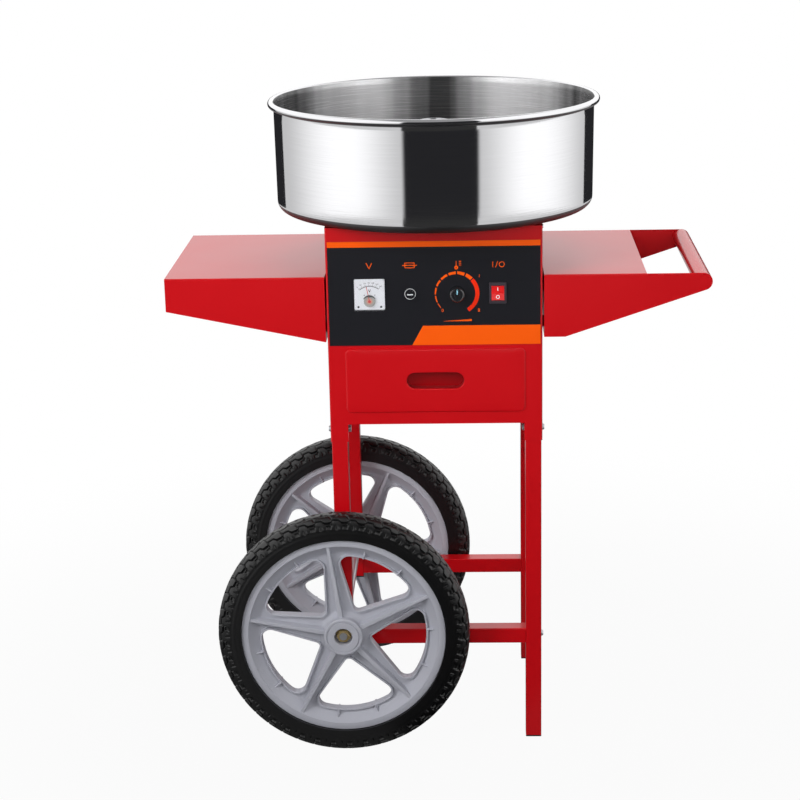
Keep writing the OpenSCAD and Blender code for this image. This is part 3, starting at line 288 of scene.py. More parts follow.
for row in (
    # Name, colour, roughness, grain, bump, coat, shine
    ("grey_wheel_plastic", (177, 178, 187), 0.42, 700, 0.08),
    ("tyre_rubber", (10, 10, 11), 0.36, 1100, 0.1, 0, 0.9),
    ("washer_rubber", (26, 26, 27), 0.7, 900, 0.2),
    ("knob_plastic", (30, 31, 34), 0.2, 1500, 0.04, 1, 1),
    ("black_plastic", (25, 25, 28), 0.34, 1500, 0.1, 0.2),
    ("panel_black", (25, 25, 30), 0.4, 1800, 0.06),
    ("meter_white", (232, 234, 240), 0.3, 1200, 0.03, 0.2),
    ("rocker_red", (228, 24, 26), 0.28, 1400, 0.04, 0.3),
    ("bush_ivory", (222, 216, 196), 0.45, 900, 0.08),
    ("moulded_insulator", (98, 62, 40), 0.5, 900, 0.12),
    ("bezel_plastic", (60, 53, 60), 0.45, 1500, 0.1),
    ("carbon_block", (44, 44, 46), 0.6, 2200, 0.2),
    ("needle_red", (206, 28, 22), 0.4, 900, 0.02),
    # Dark ink for the painted shade in the screws' recesses.
    ("painted_recess_shade", (40, 40, 42), 0.7, 900, 0.05),
    ("orange_print", (255, 92, 0), 0.5, 1500, 0.03, 0, 0.15),
    ("red_orange_print", (242, 46, 10), 0.5, 1500, 0.03, 0, 0.15),
    # White ink, which also draws the painted highlights of the fuse holder.
    ("white_print_and_highlight", (238, 240, 244), 0.4, 1500, 0.03),
    ("pale_blue_print", (150, 212, 232), 0.4, 1500, 0.03),
    ("black_print", (38, 38, 42), 0.5, 1500, 0.03),
):
    moulded(*row)
print("made the plastics, the rubber and the print")

# %% [markdown]
# Two pieces of the meter have finishes of their own. Its coil is a copper disc in a steel ring, so the
# colour changes with the distance from its middle. Its cover is clear: almost all light passes, and only a
# faint haze in its gloss shows that it is there.

# %% Coil and cover
coil_low, coil_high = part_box("meter_coil")
coil_middle = ((coil_low[0] + coil_high[0]) / 2, coil_low[1], (coil_low[2] + coil_high[2]) / 2)
coil_place, coil_shader = new_finish("coil_works", {"Roughness": 0.5})
coil_way = coil_place.node("VectorMath", {"operation": "DISTANCE"}, {0: coil_place, 1: coil_middle}, 1)
copper_to_steel = coil_way.smooth(0.003, 0.006).mix(shaded((206, 146, 124)), shaded((158, 156, 150)))
copper_to_steel.feed(coil_shader, "Base Color")

cover_place, cover_shader = new_finish(
    "clear_cover", {"Base Color": shaded((245, 247, 250)), "Alpha": 0.05, "Coat Weight": 0.4, "IOR": 1.49})
(0.06 + 0.08 * cover_place.noise(60.0)).feed(cover_shader, "Roughness")
print("there are", len(finishes), "finishes")

# %% [markdown]
# Each solid of the frame belongs to a slot of the record, so one table from slot to finish dresses them
# all. A slot that isn't in it has a finish of its own name, and four nodes differ from their slot. The
# solids keep their own mesh, because their shape is already right.

# %% Dress the solids
finish_of_slot = {
    "red_paint": "red_powder_coat", "zinc_steel": "zinc_plate", "chrome_trim": "bright_chrome",
    "white_plastic": "meter_white", "copper": "copper_wire", "grey_metal": "grey_enamel_case",
    "brass_hardware": "yellow_passivated_zinc", "grey_wheel": "grey_wheel_plastic",
    "tyre_black": "tyre_rubber", "rubber_black": "washer_rubber", "bowl_steel": "polished_steel",
    "insulator": "moulded_insulator", "carbon": "carbon_block", "head_aluminium": "turned_aluminium",
}
# The finger cup takes the darker red, which is painted shade.
finish_of_node = {"switch_body": "bezel_plastic", "meter_coil": "coil_works", "fuse_cap": "knob_plastic",
                  "drawer_finger_cup": "painted_shade_powder_coat"}
for part in frame["record"]["subparts"]:
    node, slot = part["node"], part["material_slot"]
    finish = finish_of_node.get(node, finish_of_slot.get(slot, slot))
    for place in frame["nodes"][node].material_slots:
        place.material = finishes[finish]

# %% [markdown]
# Every new piece below is a grid of points: a formula gives all of them at once, and the faces only need the
# points' numbers. A closed direction of the grid joins its last line to its first, as round a wheel. Points
# that fall together, at a seam or where two grids meet, are merged, and the normals are then turned outwards.


# %% From grids to a piece
def quads(rows, columns, close_rows, close_columns):
    """Point numbers of a grid's faces."""
    i = np.arange(rows - (not close_rows))[:, None]
    j = np.arange(columns - (not close_columns))[None]
    right, down = (j + 1) % columns, (i + 1) % rows
    corners = [i * columns + j, i * columns + right, down * columns + right, down * columns + j]
    return np.stack([np.broadcast_to(c, (i.size, j.size)) for c in corners], -1).reshape(-1, 4)


def hang_on(name, mesh, finish, body):
    """An object for a mesh, with its finish, that rides on a body."""
    mesh.materials.append(finishes[finish])
    piece = add_object(name, mesh)
    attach(piece, body)
    return piece


def make_piece(name, grids, finish, body, solid=True, edge=35):
    """Join grids of points (rows, columns, 3 in mm), each with its two closed flags, into one piece.

    Flat ink isn't solid: it keeps the side that it was drawn from. Edges over `edge` degrees stay crisp."""
    starts = np.cumsum([0] + [g[0].shape[0] * g[0].shape[1] for g in grids])
    points = np.concatenate([g[0].reshape(-1, 3) for g in grids]) / 1000
    faces = np.concatenate([s + quads(*g[0].shape[:2], g[1], g[2]) for s, g in zip(starts, grids)])
    mesh = bpy.data.meshes.new(name)
    mesh.from_pydata(points.tolist(), [], faces.tolist())
    form = bmesh.new()
    form.from_mesh(mesh)
    bmesh.ops.remove_doubles(form, verts=form.verts, dist=2e-6)
    if solid:
        bmesh.ops.recalc_face_normals(form, faces=form.faces)
    form.to_mesh(mesh)
    form.free()
    mesh.shade_smooth()
    mesh.set_sharp_from_angle(angle=np.radians(edge))
    print(name, "has", len(mesh.polygons), "faces")
    return hang_on(name, mesh, finish, body)


def spin(profile, count):
    """Carry a profile of (radius, height) rows round the Z axis: each row becomes a ring of points."""
    turn = np.linspace(0, 2 * np.pi, count, endpoint=False)
    radius, height = profile[:, :1], profile[:, 1:]
    return np.stack([radius * np.cos(turn), radius * np.sin(turn), height + 0 * turn], -1)


def arc(centre, radius, start, end, count):
    """Points of an arc about a centre, from one angle to another in degrees."""
    turn = np.radians(np.linspace(start, end, count))
    return np.stack([centre[0] + radius * np.cos(turn), centre[1] + radius * np.sin(turn)], 1)


print("grids can become pieces")

# %% [markdown]
# The bowl is spun from one disc of stainless steel: its floor turns up in a soft corner, the wall leans out
# a little, and its top edge is rolled into a bead. A profile carried round the axis is just how it is made.
# Outside it is polished like a mirror, inside it keeps the marks of the brush and painted streaks of
# reflected light, and nobody polishes its underside, so it has three finishes. The way that a face looks
# says which of them it gets.

# %% Bowl
bowl_wall, bead_size, corner, hole, lean, overhang = 1.2, 10.4, 14.0, 80.0, 1.6, 9.0
off_bend, off_bead, wall_ease = 1.0, 7.0, 0.05
flat_count, wall_count, bead_count = 24, 14, 22
rim = (bowl_high[0] - bowl_low[0]) / 2
wall = rim - overhang
foot = wall - lean
bead = np.array([rim - bead_size / 2, bowl_high[2] - bowl_low[2] - bead_size / 2])
bowl_profile = np.concatenate([
    [[hole, 0.0]],
    np.linspace([hole + off_bend, 0], [foot - corner - off_bend, 0], flat_count),
    arc([foot - corner, corner], corner, -90, 0, wall_count),
    np.linspace([foot + wall_ease, corner + 2 * off_bend],
                [wall - wall_ease, bead[1] - off_bead], wall_count),
    arc(bead, bead_size / 2, -130, 150, bead_count),
    np.linspace([wall - bowl_wall, bead[1] - (off_bead - off_bend)],
                [foot - bowl_wall + wall_ease, corner + 2 * off_bend], wall_count),
    arc([foot - corner, corner], corner - bowl_wall, 0, -90, wall_count),
    np.linspace([foot - corner - off_bend, bowl_wall], [hole + off_bend, bowl_wall], flat_count),
    [[hole, bowl_wall]],
])
bowl_points = spin(bowl_profile, 288) + np.array([bowl_axis[0], bowl_axis[1], bowl_low[2]])
bowl = make_piece("spun_bowl", [(bowl_points, True, True)], "polished_steel", "bowl", edge=60)
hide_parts("bowl")

# The inside's finish carries painted streaks of reflected light.
for finish in ("brushed_steel_painted_streaks", "dull_steel"):
    bowl.data.materials.append(finishes[finish])
middle, normal = np.empty((2, len(bowl.data.polygons) * 3))
bowl.data.polygons.foreach_get("center", middle)
bowl.data.polygons.foreach_get("normal", normal)
middle, normal = middle.reshape(-1, 3) * 1000 - bowl_axis, normal.reshape(-1, 3)
radial = np.hypot(middle[:, 0], middle[:, 1])
facing_out = (middle[:, :2] * normal[:, :2]).sum(1) / radial + np.minimum(0, -normal[:, 2])
inside = (facing_out < -0.2) & (radial < wall - 0.3)
under = (normal[:, 2] < -0.15) & ~inside
bowl.data.polygons.foreach_set("material_index", (inside + 2 * under).astype(np.int32))
print("faces brushed inside the bowl:", int(inside.sum()), "and dull below it:", int(under.sum()))

# %% [markdown]
# The tyre's rubber has a smooth side wall with a few thin rings, and a tread of blocks that interlock in a
# zigzag. The tyre could be one block copied round, but blocks that meet in a zigzag are simpler as a height
# over the whole tyre: a formula of the place round the wheel and the place across the tread says how deep the
# rubber is cut. Two stepped grooves run round each half, slanted slits join them, and a pit lies in each step
# at the shoulder.

# %% Tread pattern
pitches, groove, tread_r = 45, 2.6, 195.0
pitch = 2 * np.pi * tread_r / pitches


def ramp(value, low, high):
    """0 below low, 1 above high, and a smooth rise between."""
    t = np.clip((value - low) / (high - low), 0, 1)
    return t * t * (3 - 2 * t)


def wrap(share):
    """A share of a pitch, brought to between -0.5 and 0.5."""
    return (share + 0.5) % 1 - 0.5


def cut(distance, half):
    """1 in the middle of a cut, falling to 0 just past its half width."""
    return 1 - ramp(distance, half - 0.3, half + 0.9)


def between(across, low, high):
    """1 between two distances from the crown, with short slopes at both ends."""
    return ramp(across, low - 0.8, low + 0.4) * (1 - ramp(across, high - 0.4, high + 0.8))


def tread_depth(turn, run):
    """How deep the tread is cut, 0 to 1, from the angle round the wheel and the way across the section."""
    round_way = turn / (2 * np.pi) * pitches + np.where(run < 0, 0.5, 0.0)
    across = np.abs(run)

    def stepped(middle, swing, shift):
        """A groove round the tyre that swings in steps to both sides of its middle."""
        step = np.clip(3 * (4 * np.abs(wrap(round_way + shift)) - 1), -1, 1)
        return cut(np.abs(across - middle - swing * step), 0.75)

    def slit(place, half, low, high):
        """A cut over the tread, at a share of the pitch, from one distance from the crown to another."""
        return cut(pitch * np.abs(wrap(round_way + place)), half) * between(across, low, high)

    grooves = [stepped(20.5, 2.3, 0), stepped(8.2, 2.0, 0.34)]
    slits = [slit(0.16 + 0.012 * across, 1.3, 0, 9.5), 0.6 * slit(0.016 * (across - 14) - 0.30, 0.6, 8, 21),
             0.7 * slit(-0.26, 0.6, 20, 27.5)]
    pit, edge = 0.9 * slit(-0.44, 3.4, 27.6, 31.8), 0.6 * slit(0.03, 0.5, 28, 34)
    raised_tick = 0.3 * slit(0.22, 0.5, 29.5, 34)
    return np.maximum.reduce([*grooves, *slits, pit, edge]) - raised_tick


print("tread repeats", pitches, "times, every", round(pitch, 1), "mm")

# %% [markdown]
# The tyre's section is a flattened half oval on the rim, with points set closer over the tread. Each is sunk
# along the section's own normal, by the tread's depth or by half a millimetre beside it, where three thin
# rings are left standing, so the blocks keep the solid's outline. The last rows close the tyre at the rim.

# %% Tyres
tyre_low, tyre_high = node_box("front_tyre")
tyre_r, tyre_half = (tyre_high[2] - tyre_low[2]) / 2, (tyre_high[1] - tyre_low[1]) / 2
rim_r, bow, tread_half, tread_fade = 162.0, 0.62, 36.0, 2.0
core_r, seat_r, seat_half, bead_r, bead_half = rim_r + 15.0, rim_r + 0.3, 14.3, rim_r - 3.9, 12.4
ring_places, ring_width, side_sink = (37.4, 41.0, 46.5), 0.9, 0.5
side_count, tread_count, pitch_count = 8, 54, 30
fine = np.linspace(0, np.pi, 4001)
section = np.stack([seat_r + (tyre_r - seat_r) * np.sin(fine) ** bow,
                    -np.sign(np.cos(fine)) * tyre_half * np.abs(np.cos(fine)) ** bow], 1)
length = np.concatenate([[0], np.cumsum(np.hypot(*np.diff(section, axis=0).T))])
half_way = length[-1] / 2
run = np.concatenate([np.linspace(-half_way, -tread_half, side_count)[:-1],
                      np.linspace(-tread_half, tread_half, tread_count),
                      np.linspace(tread_half, half_way, side_count)[1:]])
section = np.stack([np.interp(half_way + run, length, section[:, n]) for n in (0, 1)], 1)
along = np.gradient(section, run, axis=0)
inward = np.stack([along[:, 1], -along[:, 0]], 1) / np.hypot(*along.T)[:, None]
inward *= -np.sign((inward * (section - [core_r, 0])).sum(1))[:, None]
turn = np.linspace(0, 2 * np.pi, pitches * pitch_count, endpoint=False)
in_tread = 1 - ramp(np.abs(run), tread_half - tread_fade, tread_half)
rings = sum(np.exp(-((np.abs(run) - place) / ring_width) ** 2) for place in ring_places)
side_wall = side_sink * (1 - in_tread) * (1 - rings)
depth = groove * in_tread[:, None] * tread_depth(turn[None], run[:, None]) + side_wall[:, None]
seat = np.array([[seat_r, seat_half], [bead_r, bead_half], [bead_r, -bead_half], [seat_r, -seat_half]])
ring_r, ring_y = [np.concatenate([section[:, n:n + 1] + inward[:, n:n + 1] * depth,
                                  np.repeat(seat[:, n:n + 1], turn.size, 1)]) for n in (0, 1)]
tyre_points = np.stack([ring_r * np.cos(turn), ring_y, ring_r * np.sin(turn)], -1)
for end in ("front", "rear"):
    low, high = node_box(end + "_tyre")
    tyre = make_piece(end + "_treaded_tyre", [(tyre_points + (low + high) / 2, True, True)],
                      "tyre_rubber", end + "_wheel", edge=40)
    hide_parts(end + "_tyre")

# %% [markdown]
# The wheel is one casting of grey plastic. Between two spokes lies a window with round corners, and the
# rest of its sector is a plate with a lip round the window and a dish up to the rim. A ray from the
# window's middle crosses first the window's edge and then the sector's edge, so angle and share of that way
# are two good parameters. The first rows of the grid follow the lip's own profile, so its edges are crisp;
# further out the height is the higher of the dish and the hub's foot.

# %% Wheel sector
spokes, middle_r, hub_r, dish_r, dish_foot, web = 5, 95.0, 31.0, 151.0, 134.5, 4.0
dish_rise, dish_curve, foot_rise, foot_width = 14.0, 1.25, 9.0, 8.0
half_sector = np.pi / spokes
lip_profile = np.array([[0, 3.3], [0.25, 3.6], [0.7, 4.2], [2.7, 4.2], [3.6, 0]])


def close_up(arcs):
    """Join arcs into one closed outline, with points set close along each straight line between two arcs."""
    sides = [np.linspace(a[-1], b[0], 62)[1:-1] for a, b in zip(arcs, arcs[1:] + arcs[:1])]
    return np.concatenate([piece for pair in zip(arcs, sides) for piece in pair])


def outline_reach(outline, angles):
    """How far a ray at each angle runs from the origin to a closed outline that surrounds it."""
    bearing = np.arctan2(outline[:, 1], outline[:, 0])
    order = np.argsort(bearing)
    return np.interp(angles, bearing[order], np.hypot(*outline.T)[order], period=2 * np.pi)


def spoke_window():
    """The window's outline: straight along both spokes, round at its corners, and following the rim."""
    side, outer, corner, root, flare = 27.7, 131.0, 14.0, 8.0, np.radians(7.3)
    half, aside = half_sector + flare, side + corner
    run = np.sqrt((outer - corner) ** 2 - aside ** 2)
    c = np.array([run * np.cos(half) + aside * np.sin(half), run * np.sin(half) - aside * np.cos(half)])
    lean, turn = np.degrees(half), np.degrees(np.arctan2(c[1], c[0]))
    return close_up([
        arc([(side + root) / np.sin(half), 0], root, 90 + lean, 270 - lean, 40),
        arc([c[0], -c[1]], corner, -90 - lean, -turn, 40),
        arc([0, 0], outer, -turn, turn, 80),
        arc(c, corner, turn, 90 + lean, 40)])


def sector_reach(angles):
    """How far a ray from the window's middle runs to a spoke's middle line, the hub or the dish's edge."""
    with np.errstate(all="ignore"):
        to_spokes = [-middle_r * np.sin(s) / np.sin(s - angles) for s in (half_sector, -half_sector)]
        flat = (middle_r * np.sin(angles)) ** 2
        to_dish = -middle_r * np.cos(angles) + np.sqrt(dish_r ** 2 - flat)
        to_hub = -middle_r * np.cos(angles) - np.sqrt(hub_r ** 2 - flat)
    ways = np.stack([*to_spokes, to_dish, to_hub])
    return np.where(ways > 0, ways, np.inf).min(0)


def casting_height(r, lip):
    """Height of a face above the wheel's middle plane, from the radius and the lip's own rise."""
    dish = dish_rise * np.clip((r - dish_foot) / (dish_r - dish_foot), 0, 1) ** dish_curve
    hub_foot = foot_rise * np.clip(1 - (r - hub_r) / foot_width, 0, 1) ** 2
    return web + np.maximum.reduce([lip + 0 * r, dish, hub_foot])


window = spoke_window()
corner_rays = [np.arctan2(r * np.sin(s), r * np.cos(s) - middle_r)
               for r in (hub_r, dish_r) for s in (half_sector, -half_sector)]
rays = np.unique(np.concatenate([np.linspace(-np.pi, np.pi, 216, endpoint=False), corner_rays]))
near, far = outline_reach(window - [middle_r, 0], rays), sector_reach(rays)
step = near + 1
first_way = np.hypot((middle_r + step * np.cos(rays))[:, None] - window[:, 0],
                     (step * np.sin(rays))[:, None] - window[:, 1]).min(-1)
lip_reach = near + lip_profile[:, :1] / np.clip(first_way, 0.5, 1)
reach = np.concatenate([lip_reach, np.linspace(lip_reach[-1], far, 10)[1:]])
lip = np.concatenate([lip_profile[:, 1:], np.zeros((9, 1))])
sector_x, sector_y = middle_r + reach * np.cos(rays), reach * np.sin(rays)
height = casting_height(np.hypot(sector_x, sector_y), lip)
face = np.stack([sector_x, sector_y, height], -1)
sector = np.concatenate([face[::-1], face * [1, 1, -1]])
print("one sector has", *sector.shape[:2], "rows and points; its highest is", round(height.max(), 1), "mm")

# %% [markdown]
# Down the middle of each spoke runs a ridge, and two short lugs stiffen the dish at each window. Both are
# ribs: a section that flares to its foot is carried along a radius and narrows on its way. A rib stands out
# on both faces, its ends lie inside the hub or the dish, and a row that shrinks to a point closes each end.


# %% Ribs
def rib(start, end, half_start, half_end, flare, height):
    """A rib along the X axis, from one radius to another, with half its width given at both ends."""
    radii = np.linspace(start, end, 12)
    spread, level = np.array([[flare, 2.0], [0, height - 0.6], [-0.6, height]])[[0, 1, 2, 2, 1, 0] * 2].T
    side, face_sign = np.repeat([1, -1, 1], [3, 6, 3]), np.repeat([1, -1], 6)
    across = side * (np.linspace(half_start, half_end, 12)[:, None] + spread)
    body = np.stack([radii[:, None] + 0 * across, across, face_sign * level + 0 * across], -1)
    caps = [np.broadcast_to([r, 0.0, 0.0], (1, 12, 3)) for r in (start, end)]
    return np.concatenate([caps[0], body, caps[1]])


ridge = rib(start=27.0, end=150.4, half_start=3.9, half_end=2.5, flare=1.0, height=web + 12.5)
lug = rib(start=131.6, end=144.5, half_start=1.2, half_end=1.0, flare=0.4, height=web + 7.5)
print("a ridge has", ridge.shape[0], "rows of", ridge.shape[1], "points")

# %% [markdown]
# Five turned copies of the sector and its ribs make the spider. The rim and the hub are round, so they are
# spun: the rim is the flat flange beside the tyre, and the hub has a ring groove and a recess for the nut.

# %% Wheels
rim_side = np.array([[dish_r - 0.6, 17.4], [dish_r, 17.9], [dish_r + 1, 18.0], [160.6, 18.0], [161.6, 17.6],
                     [162.0, 16.6], [162.0, 14.6], [158.0, 12.6]])
rim_profile = np.concatenate([rim_side, rim_side[::-1] * [1, -1], [[146, -9.0], [146, 9.0]]])
hub_profile = np.concatenate([
    [[10.0, -24.0], [29.0, -24.0]], arc([29.4, -22.4], 1.6, -90, 0, 6), arc([29.0, 22.0], 2.0, 0, 90, 7),
    [[26.8, 24.0], [26.3, 22.6], [24.9, 22.6], [24.4, 24.0]], arc([15.3, 23.0], 1.0, 90, 180, 5),
    [[14.3, 8.0], [10.0, 8.0]]])
lug_aside = 13


def stand(points, degrees, centre, out):
    """Turn flat wheel points round the hub, then stand them up at a centre with their outer face outwards."""
    t = np.radians(degrees)
    x = points[..., 0] * np.cos(t) - points[..., 1] * np.sin(t)
    z = points[..., 0] * np.sin(t) + points[..., 1] * np.cos(t)
    return np.stack([x, out * points[..., 2], z], -1) + centre


for end, first_window, out in (("front", 62, -1), ("rear", 31, 1)):
    low, high = node_box(end + "_wheel")
    windows = first_window + 360 / spokes * np.arange(spokes)
    shapes = [(sector, w, False) for w in windows] + [(ridge, w + 180 / spokes, False) for w in windows]
    shapes += [(lug, w + aside, False) for w in windows for aside in (-lug_aside, lug_aside)]
    shapes += [(spin(rim_profile, 240), 0, True), (spin(hub_profile, 96), 0, True)]
    grids = [(stand(points, degrees, (low + high) / 2, out), ring, True) for points, degrees, ring in shapes]
    wheel = make_piece(end + "_spoked_wheel", grids, "grey_wheel_plastic", end + "_wheel",
                       edge=32)
    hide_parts(end + "_wheel")

# %% [markdown]
# The drawer's front is pressed plate with softly rolled edges and a finger slot. Both the slot and the outer
# edge surround the same middle, so rays from it cross both: the plate is a grid of ray angle and of a profile
# that runs out of the slot, rolls over the face and rolls back at the outer edge.


# %% Drawer front
def round_box(width, height, radius, count=14):
    """Outline of a rectangle with round corners."""
    w, h = width / 2 - radius, height / 2 - radius
    return close_up([arc([sx * w, sy * h], radius, start, start + 90, count)
                     for sx, sy, start in ((1, 1, 0), (-1, 1, 90), (-1, -1, 180), (1, -1, 270))])


def pierced_plate(middle, front, opening, outer, profile):
    """An upright plate round an opening, by rays from its middle.

    Each row of the profile gives a share of the way from the opening to the outer edge, a length added to
    that way, and a depth behind the front."""
    rays = np.unique(np.round(np.concatenate([np.arctan2(o[:, 1], o[:, 0]) for o in (outer, opening)]), 9))
    near, far = outline_reach(opening, rays), outline_reach(outer, rays)
    way = near + (far - near) * profile[:, :1] + profile[:, 1:2]
    return np.stack([middle[0] + way * np.cos(rays), front + profile[:, 2:] + 0 * rays,
                     middle[2] + way * np.sin(rays)], -1)


low, high = node_box("drawer_front")
thick = high[1] - low[1]
slot_width, slot_height, slot_round, plate_round = 88.0, 25.7, 12.84, 8.0
plate_profile = np.array([
    [0, 0, thick], [0, 0, 1.1], [0, .35, .35], [0, 1.1, 0], [0, 2.5, 0], [.35, 0, 0], [.7, 0, 0],
    [1, -2.6, 0], [1, -1.5, .1], [1, -.7, .45], [1, -.2, 1.1], [1, 0, 1.9], [1, 0, thick]])
plate = pierced_plate((low + high) / 2, low[1], round_box(slot_width, slot_height, slot_round),
                      round_box(high[0] - low[0], high[2] - low[2], plate_round), plate_profile)
drawer_plate = make_piece("drawer_front_plate", [(plate, True, True)], "red_powder_coat", "drawer",
                          edge=50)
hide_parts("drawer_front")

# %% [markdown]
# The print on the control panel is ink: flat, crisp and hardly thicker than the paint below it. It could be
# painted by the panel's material, but thin flat pieces keep their edges sharp at any distance. Four helpers
# lay grids on the panel: any flat points, a patch, a band round a circle and a line.

# %% Ink
panel_low, panel_high = node_box("control_panel")
cabinet_x = (panel_low[0] + panel_high[0]) / 2
ink_thick = 0.06
ink_y = panel_low[1] - ink_thick


def ink(flat, depth=ink_y):
    """A grid of flat (x from the cabinet's middle, z) points, laid on the panel or at another depth."""
    x, z = cabinet_x + flat[..., 0], flat[..., 1]
    return (np.stack([x, np.full(x.shape, depth), z], -1), False, False)


def patch(left, right, low, high, lean=0.0, depth=ink_y):
    """A four-sided patch whose left edge may lean: its foot is `lean` further left than its head."""
    return ink(np.array([[[left - lean, low], [right, low]], [[left, high], [right, high]]], float), depth)


def arc_band(centre, outer, start, end, thin, thick, depth=ink_y):
    """A band that follows a circle clockwise and grows inwards from thin to thick."""
    count = max(24, int(abs(end - start) / 4))
    inner = outer - np.linspace(thin, thick, count)
    return ink(np.array([arc(centre, radius, start, end, count) for radius in (inner, outer)]), depth)


def stroke(points, width, depth=ink_y):
    """A line of even width: the path is pushed to both sides along its normal."""
    path = np.array(points, float)
    along = np.gradient(path, axis=0)
    side = np.stack([-along[:, 1], along[:, 0]], 1) / np.hypot(*along.T)[:, None] * width / 2
    return ink(np.array([path - side, path + side]), depth)


print("ink lies at", round(ink_y, 2), "mm")

# %% [markdown]
# An orange band runs along the top of the panel, a block with a slanted end fills the lower right, and a
# scale that grows thicker bends round the heat knob, with a wedge below it. The marks over the instruments
# are plain signs, drawn with a few strokes each: a letter for volts, a fuse, a thermometer, and on and off.

# %% Panel print
row_z, dial_x, dial_r, gap_half = 743.5, 35.0, 34, 2.1
scale_thin, scale_thick, hot_start, hot_stop, hot_thick = 0.9, 5.6, 42.2, -58, 6.2
band_foot, block_left, block_top, block_lean = 816.3, -17.8, 693.0, 16.9
wedge_left, wedge_right, wedge_foot, thin_top, thick_top = 14.0, 57.0, 699.6, 699.9, 702.8
sign_size, sign_line, hair_lift = 1.5, 1.1, 0.01
dial = np.array([dial_x, row_z])
half_w = (panel_high[0] - panel_low[0]) / 2
gaps = [224, 206.5, 184.5, 162, 139.5, 115.5, 91, 66.7, 43.5]
thickness = np.interp(gaps, [gaps[-1], gaps[0]], [scale_thick, scale_thin])
prints = [patch(-half_w, half_w, band_foot, panel_high[2]),
          patch(block_left, half_w, panel_low[2], block_top, block_lean)]
prints += [arc_band(dial, dial_r, a - gap_half, b + gap_half, s, t)
           for a, b, s, t in zip(gaps, gaps[1:], thickness, thickness[1:])]
prints.append(ink(np.array([[[wedge_left, wedge_foot], [wedge_right, wedge_foot]],
                            [[wedge_left, thin_top], [wedge_right, thick_top]]])))


def ring(centre, radius):
    """A closed circle as a path."""
    return arc(centre, radius, 0, 360, 40)[::-1]


def sign(centre, *lines):
    """Lines of one sign, given about its own middle and enlarged; each lies a hair over the one before."""
    return [stroke(centre + sign_size * np.array(line), sign_line, ink_y - hair_lift * k)
            for k, line in enumerate(lines)]


prints += sign((-98.4, 787.6), [(-3, 3), (0, -3)], [(0, -3), (3, 3)])
prints += sign((-36.7, 787.8), [(-7.5, 0), (7.5, 0)], [(-4.7, 2.5), (4.7, 2.5)], [(-4.7, -2.5), (4.7, -2.5)],
               [(-4.7, -2.8), (-4.7, 2.8)], [(4.7, -2.8), (4.7, 2.8)])
prints += sign((35.6, 788.0), ring((-1, -3), 1.0), ring((-1, -3), 1.6), [(-1, -2), (-1, 3.8)],
               *[[(1.8, z), (4, z)] for z in (-0.4, 1.5, 3.4)])
prints += sign((97.1, 787.8), [(-5.1, -2.9), (-5.1, 2.9)], [(-2.3, -3.2), (0.1, 3.2)], ring((4.1, 0), 2.6))
make_piece("panel_orange_print", prints, "orange_print", "cart", solid=False)
hot_end = arc_band(dial, dial_r, hot_start, hot_stop, hot_thick, hot_thick)
make_piece("panel_hot_print", [hot_end], "red_orange_print", "cart", solid=False)

# %% [markdown]
# Numerals have shapes that nobody wants to work out by hand, so the built-in font draws them. The text object
# only lends its outline: its mesh is laid on the panel, and the text is thrown away.


# %% Numerals
def numerals(name, words, size, depth, finish, body):
    """Flat numerals of one height as one piece; each is (text, x, z), centred on its place, in mm."""
    points, faces, start = [], [], 0
    for text, x, z in words:
        curve = bpy.data.curves.new(name, "FONT")
        curve.body, curve.size, curve.align_x, curve.align_y = text, size, "CENTER", "CENTER"
        lender = add_object(name + "_text", curve)
        outline = lender.evaluated_get(bpy.context.evaluated_depsgraph_get()).to_mesh()
        flat = np.empty(len(outline.vertices) * 3)
        outline.vertices.foreach_get("co", flat)
        flat = flat.reshape(-1, 3)
        points.append(np.stack([cabinet_x + x + flat[:, 0], np.full(len(flat), depth), z + flat[:, 1]], 1))
        faces += [[start + v for v in polygon.vertices] for polygon in outline.polygons]
        start += len(flat)
        bpy.data.objects.remove(lender)
        bpy.data.curves.remove(curve)
    mesh = bpy.data.meshes.new(name)
    mesh.from_pydata((np.concatenate(points) / 1000).tolist(), [], faces)
    print(name, "has", len(words), "numerals")
    return hang_on(name, mesh, finish, body)


numerals("panel_numerals", [("0", 12.5, 716.5), ("1", 69.0, 770.0), ("8", 68.0, 716.5)], 7, ink_y,
         "orange_print", "cart")

# %% [markdown]
# The meter's face is a printed card behind a clear cover: an arc with long and short ticks, numerals above
# it, and two screws below. The scale's middle is the needle's pivot, which lies under the card's own middle.
# A dark hood arches over the coil that turns the needle.

# %% Meter face
meter_x, scale_r, numeral_r, first_angle, last_angle = -98.5, 23.4, 28.4, 131, 53
pivot_drop, scale_line, long_tick, short_tick = 10.0, 0.8, (3.0, 0.42), (1.5, 0.25)
hood_r, hood_thin, hood_thick, card_lift, hood_lift = 10.4, 0.9, 3.6, 0.05, 0.8
card_y, hood_y = node_box("meter_dial")[0][1] - card_lift, node_box("meter_needle")[0][1] - hood_lift
pivot = np.array([meter_x, row_z - pivot_drop])


def from_pivot(angle, way):
    """The point at an angle in degrees and a way from the needle's pivot."""
    return pivot + way * np.array([np.cos(np.radians(angle)), np.sin(np.radians(angle))])


scale = [arc_band(pivot, scale_r, first_angle, last_angle, scale_line, scale_line, card_y)]
for k, angle in enumerate(np.linspace(first_angle, last_angle, 31)):
    long, wide = long_tick if k % 5 == 0 else short_tick
    scale.append(stroke([from_pivot(angle, scale_r), from_pivot(angle, scale_r + long)], wide, card_y))
scale += [arc_band((meter_x + dx, row_z + dz), r, 360, 0, r, r, card_y)
          for dx, dz, r in ((-17.3, -19.2, 1.7), (17.3, -19.2, 1.7), (-8, -0.7, 0.8), (8, -0.7, 0.8))]
scale += [arc_band(pivot, hood_r, 155, 90, hood_thin, hood_thick, hood_y),
          arc_band(pivot, hood_r, 90, 25, hood_thick, hood_thin, hood_y)]
scale += [stroke([(meter_x + dx, row_z + 8.2), (meter_x, row_z + 4)], 0.9, card_y) for dx in (-1.7, 1.7)]
make_piece("meter_scale", scale, "black_print", "cart", solid=False)
